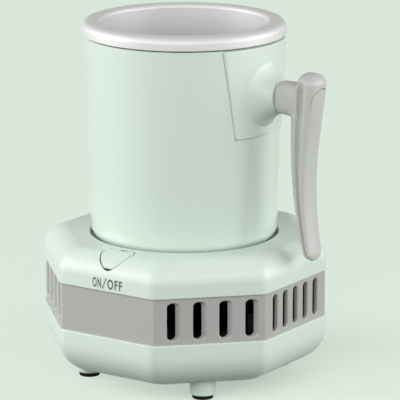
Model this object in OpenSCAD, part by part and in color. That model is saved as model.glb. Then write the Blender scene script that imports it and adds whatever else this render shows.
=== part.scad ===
// Instant drink cooler: a lift-off aluminium mug in a plastic shell stands on a cold plate.
// An eight-sided vented base below it holds the cooling stack, the fan, the board and the button.
// Millimetres. Z is up, the table is z = 0, the mug's axis is the Z axis.
// The button faces -Y and the mug's handle points to +X.

/* [Mug] */
// Radius of the drink space inside the aluminium cup
cup_bore_r = 40; // [38:0.5:42]
// Wall of the aluminium cup
cup_wall = 1.2; // [0.8:0.1:1.6]
// Thickness of the aluminium cup's floor
cup_floor = 4; // [3:0.5:5]
// Radius of the corner between the cup's wall and floor
cup_corner_r = 6; // [4:0.5:8]
// Height of the drink space's floor above the mug's foot
cup_lift = 11; // [10:0.5:13]
// Thickness of the foam at the mug's foot
foam_t = 1.6; // [1.4:0.1:2.4]
// Wall of the plastic shell
shell_wall = 2.2; // [1.8:0.1:2.6]
// Height of the plastic shell
shell_h = 99; // [92:1:108]
// How much wider the shell's radius is at the top than at the foot
shell_flare = 2.75; // [1.5:0.25:4]
// Radius of the shell's lower edge
shell_edge_r = 4.5; // [3.5:0.25:6]
// Height of the rolled rim
rim_h = 7.9; // [6.5:0.1:9]
// How far the rim stands out over the shell
rim_overhang = 1.15; // [0.8:0.05:1.6]
// Rounding of the rim's outer edge
rim_outer_r = 3.5; // [2.5:0.1:4]
// Rounding of the rim's inner edge
rim_inner_r = 3.6; // [2.5:0.1:4]
// Wall of the rolled rim
rim_wall = 2.8; // [2.4:0.1:3.2]
// Height of the gasket under the rim
gasket_h = 0.6; // [0.4:0.1:1]
// Radius of the thermal foot under the cup
foot_r = 28; // [25:0.5:29]
// Width of the seal round the thermal foot
foot_seal_w = 2.5; // [2:0.1:3]

/* [Handle bracket] */
// Distance of the handle's screw below the shell's upper edge
bracket_drop = 23.3; // [21:0.1:26]
// Height of the bracket's plate
plate_h = 42; // [38:0.5:46]
// Width of the plate along its upper edge
plate_top_w = 53; // [48:0.5:58]
// Width of the plate along its lower edge
plate_low_w = 39; // [36:0.5:42]
// Rounding of the plate's lower corners
plate_corner_r = 3; // [2:0.25:4]
// Depth that the plate is let into the shell
plate_sink = 1; // [0.6:0.1:1.2]
// How far the plate stands proud of the shell
plate_proud = 0.8; // [0.5:0.1:1.2]
// Radius of the trumpet boss where it leaves the plate
boss_base_r = 15.2; // [13:0.2:17]
// Radius of the trumpet boss at its neck
boss_neck_r = 8; // [7.4:0.1:9]
// Length of the boss from the shell to its neck
boss_len = 9.6; // [8:0.2:12]

/* [Handle] */
// Distance from the boss's neck to the middle of the grip's head
grip_reach = 13.8; // [12.5:0.2:16]
// How far the grip bows back towards the mug
grip_bow = 6.8; // [4:0.2:8]
// How far the grip's tip kicks out
grip_kick = 3.2; // [1:0.2:5]
// Height of the grip's head above its screw
grip_rise = 12.9; // [12:0.1:15]
// Drop of the grip's tip below its screw
grip_drop = 76.8; // [60:0.5:78]
// Depth of the grip at its head
grip_head_d = 16; // [15:0.2:18]
// Depth of the grip at its tip
grip_tip_d = 5.5; // [4.5:0.1:8]
// Width of the grip at its head
grip_head_w = 15.2; // [14.4:0.2:18]
// Width of the grip at its tip
grip_tip_w = 12; // [10:0.2:14]
// Radius of the handle's knuckle at the boss
knuckle_r = 7.7; // [7:0.1:8]
// Width of the oval cap over the handle's screw
cap_w = 11.6; // [10.4:0.2:12]
// Height of the oval cap over the handle's screw
cap_h = 18; // [16:0.2:19]
// Drop of the oval cap's middle below the handle's screw
cap_drop = 2.8; // [1:0.2:3.2]
// Thickness of the oval cap
cap_t = 2.2; // [1.6:0.1:2.6]

/* [Base housing] */
// Width of the cover's shelf from the mug's well to a flat side
shelf_w = 19.5; // [18.8:0.1:24]
// How far the eight corners are pulled in from sharp
corner_soften = 0.9; // [0.5:0.1:1.4]
// Height of the tray's underside above the table
tray_clear = 8.5; // [7:0.5:11]
// Height of the lower tray
tray_h = 23; // [21.5:0.5:27]
// Height of the vented band
band_h = 22.5; // [21:0.5:26]
// Height of the top cover
cover_h = 16.8; // [16.2:0.2:20]
// Radius of the tray's lower edge
tray_edge_r = 17; // [14:0.5:18]
// Radius of the cover's upper edge
cover_edge_r = 11; // [9:0.5:12]
// Wall of the tray and of the cover
housing_wall = 2.4; // [2:0.1:2.8]
// Wall of the vented band
band_wall = 1.9; // [1.6:0.1:2.3]
// How far the band sits back from the tray and the cover
band_inset = 1; // [0.6:0.1:1.2]
// Height of the lips that locate the band
lip_h = 2; // [1.4:0.1:2.2]
// Depth of the well that the mug stands in
well_depth = 4.3; // [3:0.1:5]

/* [Vent slots] */
// Width of a vent slot
slot_w = 4; // [3:0.1:5]
// Distance between neighbouring slots
slot_pitch = 8.8; // [8:0.1:9.2]
// Height of the land above and below the slots
slot_land = 2.3; // [2.2:0.1:4]
// Number of slots in each side panel
side_slots = 5; // [3:2:5]
// Number of slots in each corner panel
corner_slots = 4; // [2:1:4]
// Distance of a corner panel's first slot from the corner beside it
corner_slot_gap = 4.3; // [4:0.1:5.5]
// Width of the air slots under the tray
intake_w = 3.4; // [2.4:0.1:4]
// Distance between the air slots under the tray
intake_pitch = 6.8; // [6:0.1:9]

/* [Feet] */
// Distance of each foot from the two middle planes
foot_offset = 33.2; // [30:0.2:36]
// Radius of a foot's stub
stub_r = 6.1; // [5.5:0.1:7]
// Radius of a rubber pad
pad_r = 5; // [4:0.1:5.2]
// Height of a rubber pad below its stub
pad_h = 2; // [1.4:0.1:3]

/* [Button] */
// Radius of the button's cap
button_r = 7.9; // [6.5:0.1:8.2]
// Gap round the button
button_gap = 0.4; // [0.3:0.05:0.6]
// Distance of the button's axis from the front flat
button_inset = 9.2; // [8.9:0.1:9.6]
// Travel of the button
button_travel = 1; // [0.6:0.1:1.2]
// Wall of the button's cap
button_wall = 1.6; // [1.2:0.1:2]
// Length of the indicator slit
slit_l = 3.8; // [2.5:0.1:5]
// Width of the indicator slit
slit_w = 1; // [0.7:0.1:1.4]

/* [Cooling stack] */
// Height of the cold plate
plate_stack_h = 10; // [9:0.5:12]
// How far the cold plate stands above the well's floor
plate_rise = 1.5; // [1:0.1:1.8]
// Size of the thermoelectric module
module_size = 40; // [30:1:44]
// Thickness of the thermoelectric module
module_t = 3.8; // [3:0.1:4.4]
// Width and depth of the heat sink and of the fan's frame
stack_size = 80; // [78:1:84]
// Thickness of the heat sink's base
sink_base_t = 5; // [4:0.5:6]
// Height of the heat sink's fins
fin_h = 17.2; // [14:0.2:19]
// Thickness of a fin
fin_t = 1.6; // [1.2:0.1:2]
// Distance between neighbouring fins
fin_pitch = 5; // [4:0.1:6]
// Height of the fan's frame
fan_h = 15; // [14:0.5:17]
// Distance of the fan's mounting holes from the sides of its frame
fan_hole_inset = 4.25; // [4:0.05:5]
// Radius of the fan's shaft
shaft_r = 1.5; // [1.2:0.1:2]
// Radius of the rotor's hub
hub_r = 17; // [15:0.5:19]
// Number of fan blades
blades = 9; // [5:1:11]
// Radius of the power inlet's barrel opening
inlet_r = 2.85; // [2.6:0.05:3.2]
// Radius of the power inlet's centre pin
inlet_pin_r = 1; // [0.8:0.05:1.2]

/* [Hidden] */
$fn = 96;

// Clearances and small shared sizes
cut = 1;                 // extra length of a cutting tool past the face that it opens
fit = 0.2;               // gap between fixed pieces that slip together
loose = 0.4;             // gap round a panel that shows as a dark line
bite = 0.6;              // how far a joined shape reaches into the wall that carries it
run = 0.05;              // radial clearance of a turning shaft or a sliding plunger
rest_gap = 0.5;          // gap between the mug's foot and the well's floor
small_screw_r = 1.1;     // shank of the small self-tapping screws
screw_r = 1.5;           // shank of the housing screws
screw_head_r = 2.8;      // head of the housing screws
screw_head_h = 1.8;      // height of the housing screws' heads
boss_wall = 2;           // wall of a screw boss
small_boss_wall = 1.6;   // wall of a small screw's boss
post_r = screw_r + boss_wall;
lip_t = 1.6;             // wall of the lips that locate the band
ledge_h = 1.6;           // height of the ledges that carry those lips
corner_turn = 22.5;      // angle from a flat's middle to a corner

// Mug radii and levels
cup_outer_r = cup_bore_r + cup_wall;
shell_foot_r = cup_outer_r + foam_t + shell_wall;
shell_top_r = shell_foot_r + shell_flare;
well_r = shell_foot_r + rest_gap;

// Base sizes and levels, from the table up
stack_gap = 4;           // free space at the corners of the heat sink
half = max(well_r + shelf_w, stack_size / sqrt(2) + stack_gap + band_wall + band_inset);
tray_floor_z = tray_clear + housing_wall;
band_z = tray_clear + tray_h;
cover_z = band_z + band_h;
cover_top_z = cover_z + cover_h;
well_z = cover_top_z - well_depth;
well_under_z = well_z - housing_wall;
band_half = half - band_inset;
lip_half = band_half - band_wall - fit;
corner_slot_y = band_half * tan(corner_turn) + corner_slot_gap;
well_chamfer = 0.6;

// Levels of the mug on the cold plate
mug_z = well_z + rest_gap;
shell_top_z = mug_z + shell_h;
rim_z = shell_top_z + gasket_h;
rim_top_z = rim_z + rim_h;
rim_r = shell_top_r + rim_overhang;
cup_floor_z = mug_z + cup_lift;
cup_under_z = cup_floor_z - cup_floor;
foot_opening_r = foot_r + foot_seal_w;
foot_seal_lip = 1.4;
roll_gap = 1;            // wall left beside the cup under its rolled rim
foot_screw_pcd_r = 18;
foot_screw_head_h = 1.6;
foot_screw_seat_z = well_z + plate_rise + foot_screw_head_h + fit;

// Levels of the cooling stack, from the mug down
plate_top_z = well_z + plate_rise;
plate_z = plate_top_z - plate_stack_h;
sink_top_z = plate_z - module_t;
fin_top_z = sink_top_z - sink_base_t;
sink_z = fin_top_z - fin_h;
fan_z = sink_z - rest_gap - fan_h;
plate_neck_r = foot_r - rest_gap;
plate_gasket_t = 2.2;
plate_flange_z = well_under_z - plate_gasket_t;
plate_flange_w = 4.8;
plate_flange_r = plate_neck_r + plate_flange_w;

// Handle levels
axis_z = shell_top_z - bracket_drop;
neck_x = shell_r(axis_z) + boss_len;
plate_top_edge_z = shell_top_z - loose;
plate_low_edge_z = plate_top_edge_z - plate_h;
handle_hole_r = 2;
handle_head_r = 3.8;
handle_head_h = 3;
boss_floor = 1;          // solid end of the screw hole in the boss
grip_thinning = 1.6;     // how much shallower the grip is at its screw than at its head
cap_gap = 0.15;
cap_seat_x = neck_x + grip_reach + grip_head_d / 2 - grip_thinning - cap_t;
screw_seat_x = cap_seat_x - handle_head_h - grip_thinning;

// Bracket screws: the pegs are measured from the mug's axis at the lower pair
bracket_peg_r = 2.5;
bracket_head_r = 3.6;
bracket_head_h = 1.2;
peg_inset_low = 5.6;
peg_inset_high = 10.4;
peg_row_low = plate_low_edge_z + peg_inset_low;
peg_row_high = plate_top_edge_z - peg_inset_high;
peg_turn_low = 17;
peg_turn_high = 19;
peg_low = shell_r(peg_row_low) - shell_wall - fit;
peg_h = shell_wall + plate_proud - bite;

// Centre line of the grip in the XZ plane, from its head to its tip, and the rounding of its ends
grip_len = grip_rise + grip_drop;
grip_curve = [
    [grip_reach, grip_rise],
    [grip_reach + fit, grip_rise - 0.285 * grip_len],
    [grip_reach - grip_bow, grip_rise - 0.53 * grip_len],
    [grip_reach + grip_kick, -grip_drop]
];
grip_rings = 24;
grip_sides = 48;
grip_body = 0.42;        // middle of the section's full body, from the inner face at -1 to the outer at 1
grip_back = 0.66;        // middle of the rib behind that body, towards the inner face
grip_rib = 0.74;         // width of that rib, as a share of the body's width
grip_web = 0.5;          // width of the groove between them, as a share of the body's width
head_back = 0.5;         // depth of the head behind its middle, as a share of the grip's depth there
head_back_low = 4;       // heights above the screw between which the grip's back steps in to the head's
head_back_high = 8;
head_round = 5.5;
tip_round = 4.5;
blunt = 0.16;            // size of the small flat at either end

// Button and board
button_y = -(half - button_inset);
button_hole_r = button_r + button_gap;
button_h = 9;
skirt_z = cover_top_z - button_h;
button_pocket_z = skirt_z - button_travel - fit;
guide_wall = 1.5;
board_t = 1.6;
board_w = 48;
board_d = 17.4;
board_drop = 3.2;
board_top_z = skirt_z - board_drop;
board_y = housing_wall + loose - half;
switch_size = 6;
switch_h = 3.5;
switch_floor = 0.5;
plunger_r = 1.7;
plunger_top_z = board_top_z + switch_h + button_travel + 0.5;
slit_y = button_y + button_r - button_wall - slit_w / 2 - loose;
lens_h = 5;
led_size = [3.2, 1.6, 0.8];
led_dome_r = 0.7;
board_boss_x = 18;
board_boss_gap = 3.6;
board_boss_y = button_y + board_boss_gap;
board_grip = 4;

// Screw places in the base
clamp_inset = 5;
clamp_offset = stack_size / 2 - clamp_inset;
clamp_grip = 7;
tray_screw_inset = 13;
tray_screw_x = half - tray_screw_inset;
tray_screw_y = 22;
tray_seat_h = 11;
tray_seat_z = tray_clear + tray_seat_h;
tray_grip = 10;
pad_stem_r = 3;
pad_stem_h = 4;

// Fan, from the inlet up to the motor seat
fan_holes = stack_size - 2 * fan_hole_inset;
fan_bore_r = stack_size / 2 - 2;
motor_seat_t = 2.4;
hub_top_z = fan_z + fan_h - motor_seat_t;
fan_seat_depth = 3;
fan_seat_z = fan_z + fan_h - screw_head_h - fan_seat_depth;
bearing_r = shaft_r + 2;
bearing_tube_r = bearing_r + 1.4;
rotor_z = fan_z + 1.2;
rotor_wall = 1.6;
rotor_gap = 0.6;
bearing_z = rotor_z + rotor_wall + rotor_gap;

// Power inlet
jack_z = band_z + band_h / 2;
jack_thread_r = 4;
jack_depth = 13;
jack_flange = 1.6;
jack_floor = 2;
nut_h = 2.4;

function shell_r(z) = shell_foot_r + shell_flare * (z - mug_z - shell_edge_r) / (shell_h - shell_edge_r);

// Shared shapes

module tube(outer_r, inner_r, h) {
    difference() {
        cylinder(r = outer_r, h = h);
        translate([0, 0, -cut]) cylinder(r = inner_r, h = h + 2 * cut);
    }
}

module octagon(flat) {
    rotate(corner_turn) circle(r = flat / cos(corner_turn), $fn = 8);
}

module soft_octagon(flat) {
    intersection() {
        octagon(flat);
        circle(r = flat / cos(corner_turn) - corner_soften);
    }
}

// Eight-sided ring with softened corners
module octagon_ring(outer, inner, low, h) {
    translate([0, 0, low])
        linear_extrude(height = h)
            difference() {
                soft_octagon(outer);
                soft_octagon(inner);
            }
}

// Side view of a block whose two upper edges are rounded
module rounded_profile(flat, edge_r, low, high) {
    difference() {
        translate([-flat, low]) square([2 * flat, high - low]);
        for (side = [0, 1])
            mirror([side, 0]) translate([flat - edge_r, high - edge_r])
                difference() {
                    square(edge_r + cut);
                    circle(r = edge_r);
                }
    }
}

// Eight-sided block with a rounded upper edge and softened corners
module octagonal_block(flat, edge_r, low, high) {
    intersection() {
        intersection_for(turn = [0:45:135])
            rotate([0, 0, turn]) rotate([90, 0, 0])
                linear_extrude(height = 4 * flat, center = true) rounded_profile(flat, edge_r, low, high);
        translate([0, 0, low - cut])
            cylinder(r = flat / cos(corner_turn) - corner_soften, h = high - low + 2 * cut);
    }
}

// The cover's outer form, or the same form set in by a wall and run on downwards
module cover_form(inset, down = cut) {
    low = cover_z - (inset > 0 ? down : 0);
    octagonal_block(half - inset, cover_edge_r - inset, low, cover_top_z - inset);
}

// The tray's outer form, or the same form set in by a wall
module tray_form(inset) {
    high = band_z + (inset > 0 ? cut : 0);
    mirror([0, 0, 1])
        octagonal_block(half - inset, tray_edge_r - inset, -high, -tray_clear - inset);
}

// Half section of the shell's outer form, or the same form set in by a wall
module shell_half(inset) {
    edge = shell_edge_r - inset;
    edge_z = mug_z + shell_edge_r;
    edge_x = shell_foot_r - shell_edge_r;
    over = inset > 0 ? cut : 0;
    polygon([
        [0, edge_z],
        [shell_r(edge_z) - inset, edge_z],
        [shell_r(shell_top_z + over) - inset, shell_top_z + over],
        [0, shell_top_z + over]
    ]);
    translate([0, mug_z + inset]) square([edge_x, edge]);
    intersection() {
        translate([edge_x, edge_z]) circle(r = edge);
        translate([0, mug_z]) square([shell_foot_r + cut, shell_edge_r]);
    }
}

module places(x, y) {
    for (sx = [-1, 1], sy = [-1, 1])
        translate([sx * x, sy * y, 0]) children();
}

// Pan-head screw: seat at z = 0, head above it, shank below, with a hexagon socket
module screw(head_r, head_h, shank_r, length) {
    difference() {
        union() {
            cylinder(r = head_r, h = head_h);
            translate([0, 0, -length]) cylinder(r = shank_r, h = length);
        }
        translate([0, 0, head_h / 2]) cylinder(r = head_r / 2, h = head_h, $fn = 6);
    }
}

// Mug

module inner_cup() {
    color("silver")
    rotate_extrude()
    difference() {
        union() {
            translate([0, cup_under_z]) square([cup_outer_r, rim_top_z - cup_under_z - rim_inner_r]);
            translate([cup_bore_r, rim_z]) square([rim_r - cup_bore_r, rim_h - rim_outer_r - rim_inner_r]);
            translate([cup_bore_r + rim_inner_r, rim_z])
                square([rim_r - cup_bore_r - rim_inner_r - rim_outer_r, rim_h]);
            translate([cup_bore_r, rim_z]) square([rim_inner_r + cut, rim_h - rim_inner_r]);
            translate([rim_r - rim_outer_r - cut, rim_z]) square([rim_outer_r + cut, rim_h - rim_outer_r]);
            translate([cup_bore_r + rim_inner_r, rim_top_z - rim_inner_r]) circle(r = rim_inner_r);
            translate([rim_r - rim_outer_r, rim_top_z - rim_outer_r]) circle(r = rim_outer_r);
        }
        // drink space with a rounded corner at its floor
        translate([-cut, cup_floor_z + cup_corner_r]) square([cup_bore_r + cut, shell_h + cut]);
        translate([-cut, cup_floor_z]) square([cup_bore_r - cup_corner_r + cut, cup_corner_r + cut]);
        translate([cup_bore_r - cup_corner_r, cup_floor_z + cup_corner_r]) circle(r = cup_corner_r);
        // hollow of the roll
        translate([cup_outer_r + roll_gap, rim_z - cut])
            square([rim_r - rim_wall - cup_outer_r - roll_gap, rim_h - rim_inner_r - roll_gap + cut]);
        translate([-cut, cup_under_z - cut]) square([cut, rim_top_z]);
    }
}

module rim_gasket() {
    color("dimgray")
    translate([0, 0, shell_top_z]) tube(shell_top_r - bite, shell_top_r - shell_wall + fit, gasket_h);
}

module outer_shell() {
    color([0.82, 0.9, 0.84])
    difference() {
        rotate_extrude()
        difference() {
            shell_half(0);
            shell_half(shell_wall);
            translate([-cut, mug_z - cut]) square([foot_opening_r + cut, shell_wall + 2 * cut]);
        }
        // pocket that the bracket's plate is let into
        difference() {
            plate_outline(loose);
            shell_cone(plate_sink);
        }
        bracket_places()
            translate([0, 0, peg_low - cut]) cylinder(r = bracket_peg_r + fit, h = peg_h + 2 * cut);
    }
}

module insulation_sleeve() {
    low = mug_z + shell_edge_r + 1;
    high = shell_top_z - 2;
    inner = cup_outer_r + fit;
    color("whitesmoke")
    difference() {
        rotate_extrude()
        polygon([
            [inner, low],
            [shell_r(low) - shell_wall - fit, low],
            [shell_r(high) - shell_wall - fit, high],
            [inner, high]
        ]);
        bracket_places() translate([0, 0, cup_bore_r])
            cylinder(r = bracket_head_r + fit, h = shell_top_r - cup_bore_r);
    }
}

module foot_screw_places() {
    for (turn = [30:120:270])
        rotate([0, 0, turn]) translate([foot_screw_pcd_r, 0, 0]) children();
}

module thermal_foot() {
    color("gainsboro")
    difference() {
        translate([0, 0, plate_top_z]) cylinder(r = foot_r, h = cup_under_z - plate_top_z);
        foot_screw_places() {
            translate([0, 0, plate_top_z - cut]) cylinder(r = screw_r + fit, h = cup_lift + cut);
            translate([0, 0, plate_top_z - cut])
                cylinder(r = screw_head_r + fit, h = foot_screw_seat_z - plate_top_z + cut);
        }
    }
}

module thermal_foot_screws() {
    color("darkgray")
    foot_screw_places()
        translate([0, 0, foot_screw_seat_z]) mirror([0, 0, 1])
            screw(screw_head_r, foot_screw_head_h, screw_r, cup_under_z - foot_screw_seat_z);
}

module foot_seal() {
    color("dimgray")
    union() {
        translate([0, 0, mug_z + fit]) tube(foot_opening_r, foot_r, shell_wall);
        translate([0, 0, mug_z + shell_wall]) tube(foot_opening_r + foot_seal_lip, foot_r, foot_seal_lip);
    }
}

// Handle bracket

// Frames at the bracket's four screws: the local Z axis points out of the mug
module bracket_places() {
    for (side = [-1, 1]) {
        translate([0, 0, peg_row_low]) rotate([0, 90, side * peg_turn_low]) children();
        translate([0, 0, peg_row_high]) rotate([0, 90, side * peg_turn_high])
            translate([0, 0, shell_r(peg_row_high) - shell_r(peg_row_low)]) children();
    }
}

// Wedge-shaped outline of the plate, run out through the shell's +X side
module plate_outline(gap) {
    low_half = plate_low_w / 2 - plate_corner_r;
    top_half = plate_top_w / 2 - plate_corner_r;
    rotate([90, 0, 90])
        translate([0, 0, shell_foot_r / 2])
            linear_extrude(height = shell_foot_r)
                hull() {
                    for (side = [-1, 1]) {
                        translate([side * low_half, plate_low_edge_z + plate_corner_r])
                            circle(r = plate_corner_r + gap, $fn = 32);
                        translate([side * top_half, plate_top_edge_z - plate_corner_r + gap])
                            square(2 * (plate_corner_r + gap), center = true);
                    }
                }
}

// Trumpet boss along +X, from inside the plate to its neck, hollowed a little along its cone
module trumpet() {
    sag = 0.8;
    root_x = shell_foot_r / 2;
    base = [boss_base_r, shell_r(axis_z) + plate_proud];
    neck = [boss_neck_r, neck_x];
    side = norm(neck - base);
    outward = [neck[1] - base[1], base[0] - neck[0]] / side;
    flare_r = side * side / (8 * sag) + sag / 2;
    translate([0, 0, axis_z]) rotate([0, 90, 0])
        rotate_extrude()
            difference() {
                polygon([[0, root_x], [boss_base_r, root_x], base, neck, [0, neck_x]]);
                translate((base + neck) / 2 + outward * (flare_r - sag)) circle(r = flare_r + run, $fn = 192);
            }
}

// Cone that keeps a set distance inside the shell's outer wall, over the height of the bracket
module shell_cone(inset) {
    low = plate_low_edge_z - boss_base_r;
    high = shell_top_z + cut;
    translate([0, 0, low])
        cylinder(r1 = shell_r(low) - inset, r2 = shell_r(high) - inset, h = high - low);
}

module handle_bracket() {
    color([0.82, 0.9, 0.84])
    difference() {
        union() {
            difference() {
                union() {
                    intersection() {
                        plate_outline(0);
                        shell_cone(-plate_proud);
                    }
                    trumpet();
                }
                shell_cone(plate_sink);
            }
            bracket_places() translate([0, 0, peg_low]) cylinder(r = bracket_peg_r, h = peg_h);
        }
        bracket_places()
            translate([0, 0, peg_low - cut]) cylinder(r = small_screw_r + run, h = peg_h + cut);
        translate([neck_x, 0, axis_z]) rotate([0, -90, 0])
            translate([0, 0, -cut]) cylinder(r = handle_hole_r, h = boss_len - boss_floor + cut);
    }
}

module bracket_screws() {
    color("darkgray")
    bracket_places() translate([0, 0, peg_low - fit]) mirror([0, 0, 1])
        screw(bracket_head_r, bracket_head_h, small_screw_r, peg_h);
}

// Handle

function bezier(p, t) =
    pow(1 - t, 3) * p[0] + 3 * pow(1 - t, 2) * t * p[1] + 3 * (1 - t) * t * t * p[2] + pow(t, 3) * p[3];
function end_scale(gap, round) = gap >= round ? 1 : max(blunt, sqrt(1 - pow(1 - gap / round, 2)));
function body_width(u) = sqrt(max(0, 1 - pow(abs(u - grip_body) / (1 - grip_body), 2.2)));
function rib_width(u) = grip_rib * sqrt(max(0, 1 - pow(abs(u + grip_back) / (1 - grip_back), 4)));
function web_width(u) = abs(u) < grip_back ? grip_web : 0;
function section_width(u) = max(body_width(u), rib_width(u), web_width(u));
function back_depth(rise) =
    1 - (1 - head_back) * min(1, max(0, (rise - head_back_low) / (head_back_high - head_back_low)));
function grip_ring(t) =
    let (
        p = bezier(grip_curve, t),
        size = end_scale(grip_rise - p[1], head_round) * end_scale(p[1] + grip_drop, tip_round),
        depth = (grip_head_d + (grip_tip_d - grip_head_d) * t) / 2 * size,
        width = (grip_head_w + (grip_tip_w - grip_head_w) * t) / 2 * size
    )
    [for (k = [0:grip_sides - 1])
        let (
            a = 360 * k / grip_sides,
            along = depth * cos(a) * (cos(a) < 0 ? back_depth(p[1]) : 1)
        )
        [neck_x + p[0] + along, width * sign(sin(a)) * section_width(cos(a)), axis_z + p[1]]];

// Grip: sections with a full body and a narrower rib behind it, swept down the centre line
module grip() {
    points = [for (i = [0:grip_rings]) each grip_ring(0.5 - 0.5 * cos(180 * i / grip_rings))];
    last = grip_rings * grip_sides;
    sides = [for (i = [0:grip_rings - 1], k = [0:grip_sides - 1])
        let (a = i * grip_sides + k, b = i * grip_sides + (k + 1) % grip_sides)
        each [[a, b, b + grip_sides], [a, b + grip_sides, a + grip_sides]]];
    head = [for (k = [1:grip_sides - 2]) [0, k + 1, k]];
    tip = [for (k = [1:grip_sides - 2]) [last, last + k, last + k + 1]];
    polyhedron(points, concat(sides, head, tip));
}

// Oval that the cap fills, run out through the grip's outer face
module cap_oval(gap) {
    straight = cap_h - cap_w;
    translate([cap_seat_x, 0, axis_z - cap_drop])
        rotate([90, 0, 90])
            linear_extrude(height = grip_head_d)
                union() {
                    square([cap_w + 2 * gap, straight], center = true);
                    for (side = [-1, 1])
                        translate([0, side * straight / 2]) circle(r = cap_w / 2 + gap);
                }
}

// Round stem with flat cheeks along +X from the boss into the grip, with a softened first edge
module knuckle() {
    edge = 1.2;
    cheek = grip_rib * grip_head_w - 2 * fit;
    intersection() {
        translate([neck_x, 0, axis_z]) rotate([0, 90, 0])
            rotate_extrude()
                difference() {
                    square([knuckle_r, grip_reach - edge]);
                    translate([knuckle_r - edge, edge]) mirror([0, 1])
                        difference() {
                            square(edge + cut);
                            circle(r = edge);
                        }
                }
        translate([neck_x - cut, -cheek / 2, axis_z - knuckle_r - cut])
            cube([grip_reach * (1 - grip_back / 4), cheek, 2 * (knuckle_r + cut)]);
    }
}

// Fillet that blends the stem into the grip's rib below it, no wider than the rib
module knuckle_fillet() {
    swell = 3.4;
    width = 0.75 * grip_rib * grip_head_w;
    intersection() {
        translate([neck_x + grip_reach - grip_head_d / 2 + grip_thinning, 0, axis_z]) rotate([0, -90, 0])
            rotate_extrude()
                difference() {
                    square([knuckle_r + swell, swell]);
                    translate([knuckle_r + swell, swell]) circle(r = swell);
                }
        translate([neck_x, -width / 2, axis_z - grip_head_d]) cube([grip_reach, width, grip_head_d]);
    }
}

module handle() {
    color([0.74, 0.74, 0.73])
    difference() {
        union() {
            grip();
            knuckle();
            knuckle_fillet();
        }
        cap_oval(cap_gap);
        translate([neck_x - cut, 0, axis_z]) rotate([0, 90, 0])
            cylinder(r = handle_hole_r + fit, h = cap_seat_x - neck_x + 2 * cut);
        translate([screw_seat_x, 0, axis_z]) rotate([0, 90, 0])
            cylinder(r = handle_head_r + loose, h = cap_seat_x - screw_seat_x + cut);
    }
}

module handle_screw() {
    color("darkgray")
    translate([screw_seat_x, 0, axis_z]) rotate([0, 90, 0])
        screw(handle_head_r, handle_head_h, handle_hole_r - run,
              screw_seat_x - neck_x + boss_len - 2 * boss_floor);
}

module handle_cap() {
    color([0.76, 0.76, 0.75])
    intersection() {
        cap_oval(0);
        grip();
    }
}

// Base housing

module top_cover() {
    color([0.82, 0.9, 0.84])
    difference() {
        union() {
            difference() {
                cover_form(0);
                cover_form(housing_wall);
            }
            // cup of the well
            translate([0, 0, well_under_z])
                cylinder(r = well_r + housing_wall, h = well_depth + housing_wall - bite);
            // lip that stands inside the band, on its ledge
            octagon_ring(lip_half, lip_half - lip_t, cover_z - lip_h, lip_h + ledge_h);
            octagon_ring(half - housing_wall + bite, lip_half - lip_t, cover_z, ledge_h);
            // posts on the heat sink
            places(clamp_offset, clamp_offset)
                translate([0, 0, sink_top_z]) cylinder(r = post_r, h = cover_top_z - bite - sink_top_z);
            // long posts that the tray's screws pull on
            intersection() {
                places(tray_screw_x, tray_screw_y)
                    translate([0, 0, band_z + fit]) cylinder(r = post_r, h = band_h + cover_h);
                cover_form(bite, band_h);
            }
            // posts of the board and guide of the button
            board_places()
                cylinder(r = small_screw_r + small_boss_wall, h = cover_top_z - bite - board_top_z);
            intersection() {
                translate([0, button_y, button_pocket_z])
                    cylinder(r = button_hole_r + guide_wall, h = cover_h);
                cover_form(bite);
            }
        }
        translate([0, 0, well_z]) cylinder(r = well_r, h = well_depth + cut);
        translate([0, 0, cover_top_z - well_chamfer])
            cylinder(r1 = well_r, r2 = well_r + well_chamfer + cut, h = well_chamfer + cut);
        translate([0, 0, well_under_z - cut]) cylinder(r = plate_neck_r + fit, h = housing_wall + 2 * cut);
        translate([0, button_y, button_pocket_z - cut]) cylinder(r = button_hole_r, h = cover_h);
        places(clamp_offset, clamp_offset)
            translate([0, 0, sink_top_z - cut]) cylinder(r = screw_r + run, h = clamp_grip + 2 * cut);
        places(tray_screw_x, tray_screw_y)
            translate([0, 0, band_z - cut]) cylinder(r = screw_r + run, h = tray_grip + 2 * cut);
        board_places()
            translate([0, 0, -cut]) cylinder(r = small_screw_r + run, h = board_grip + 2 * cut);
    }
}

// The board's two screws, at the level of its upper face
module board_places() {
    for (side = [-1, 1])
        translate([side * board_boss_x, board_boss_y, board_top_z]) children();
}

// Upright slot with round ends, cut along X through both walls of the band
module vent_slot(y) {
    straight = band_h - 2 * slot_land - slot_w;
    translate([0, y, jack_z])
        rotate([90, 0, 90])
            linear_extrude(height = 4 * half, center = true)
                union() {
                    square([slot_w, straight], center = true);
                    for (side = [-1, 1])
                        translate([0, side * straight / 2]) circle(r = slot_w / 2);
                }
}

module vent_band() {
    color([0.68, 0.68, 0.67])
    difference() {
        octagon_ring(band_half, band_half - band_wall, band_z, band_h);
        for (k = [0:side_slots - 1])
            vent_slot((k - (side_slots - 1) / 2) * slot_pitch);
        for (side = [-1, 1], k = [0:corner_slots - 1])
            vent_slot(side * (corner_slot_y + k * slot_pitch));
        translate([0, half, jack_z]) rotate([90, 0, 0])
            cylinder(r = jack_thread_r + fit, h = band_wall + 2 * band_inset + cut);
    }
}

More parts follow.
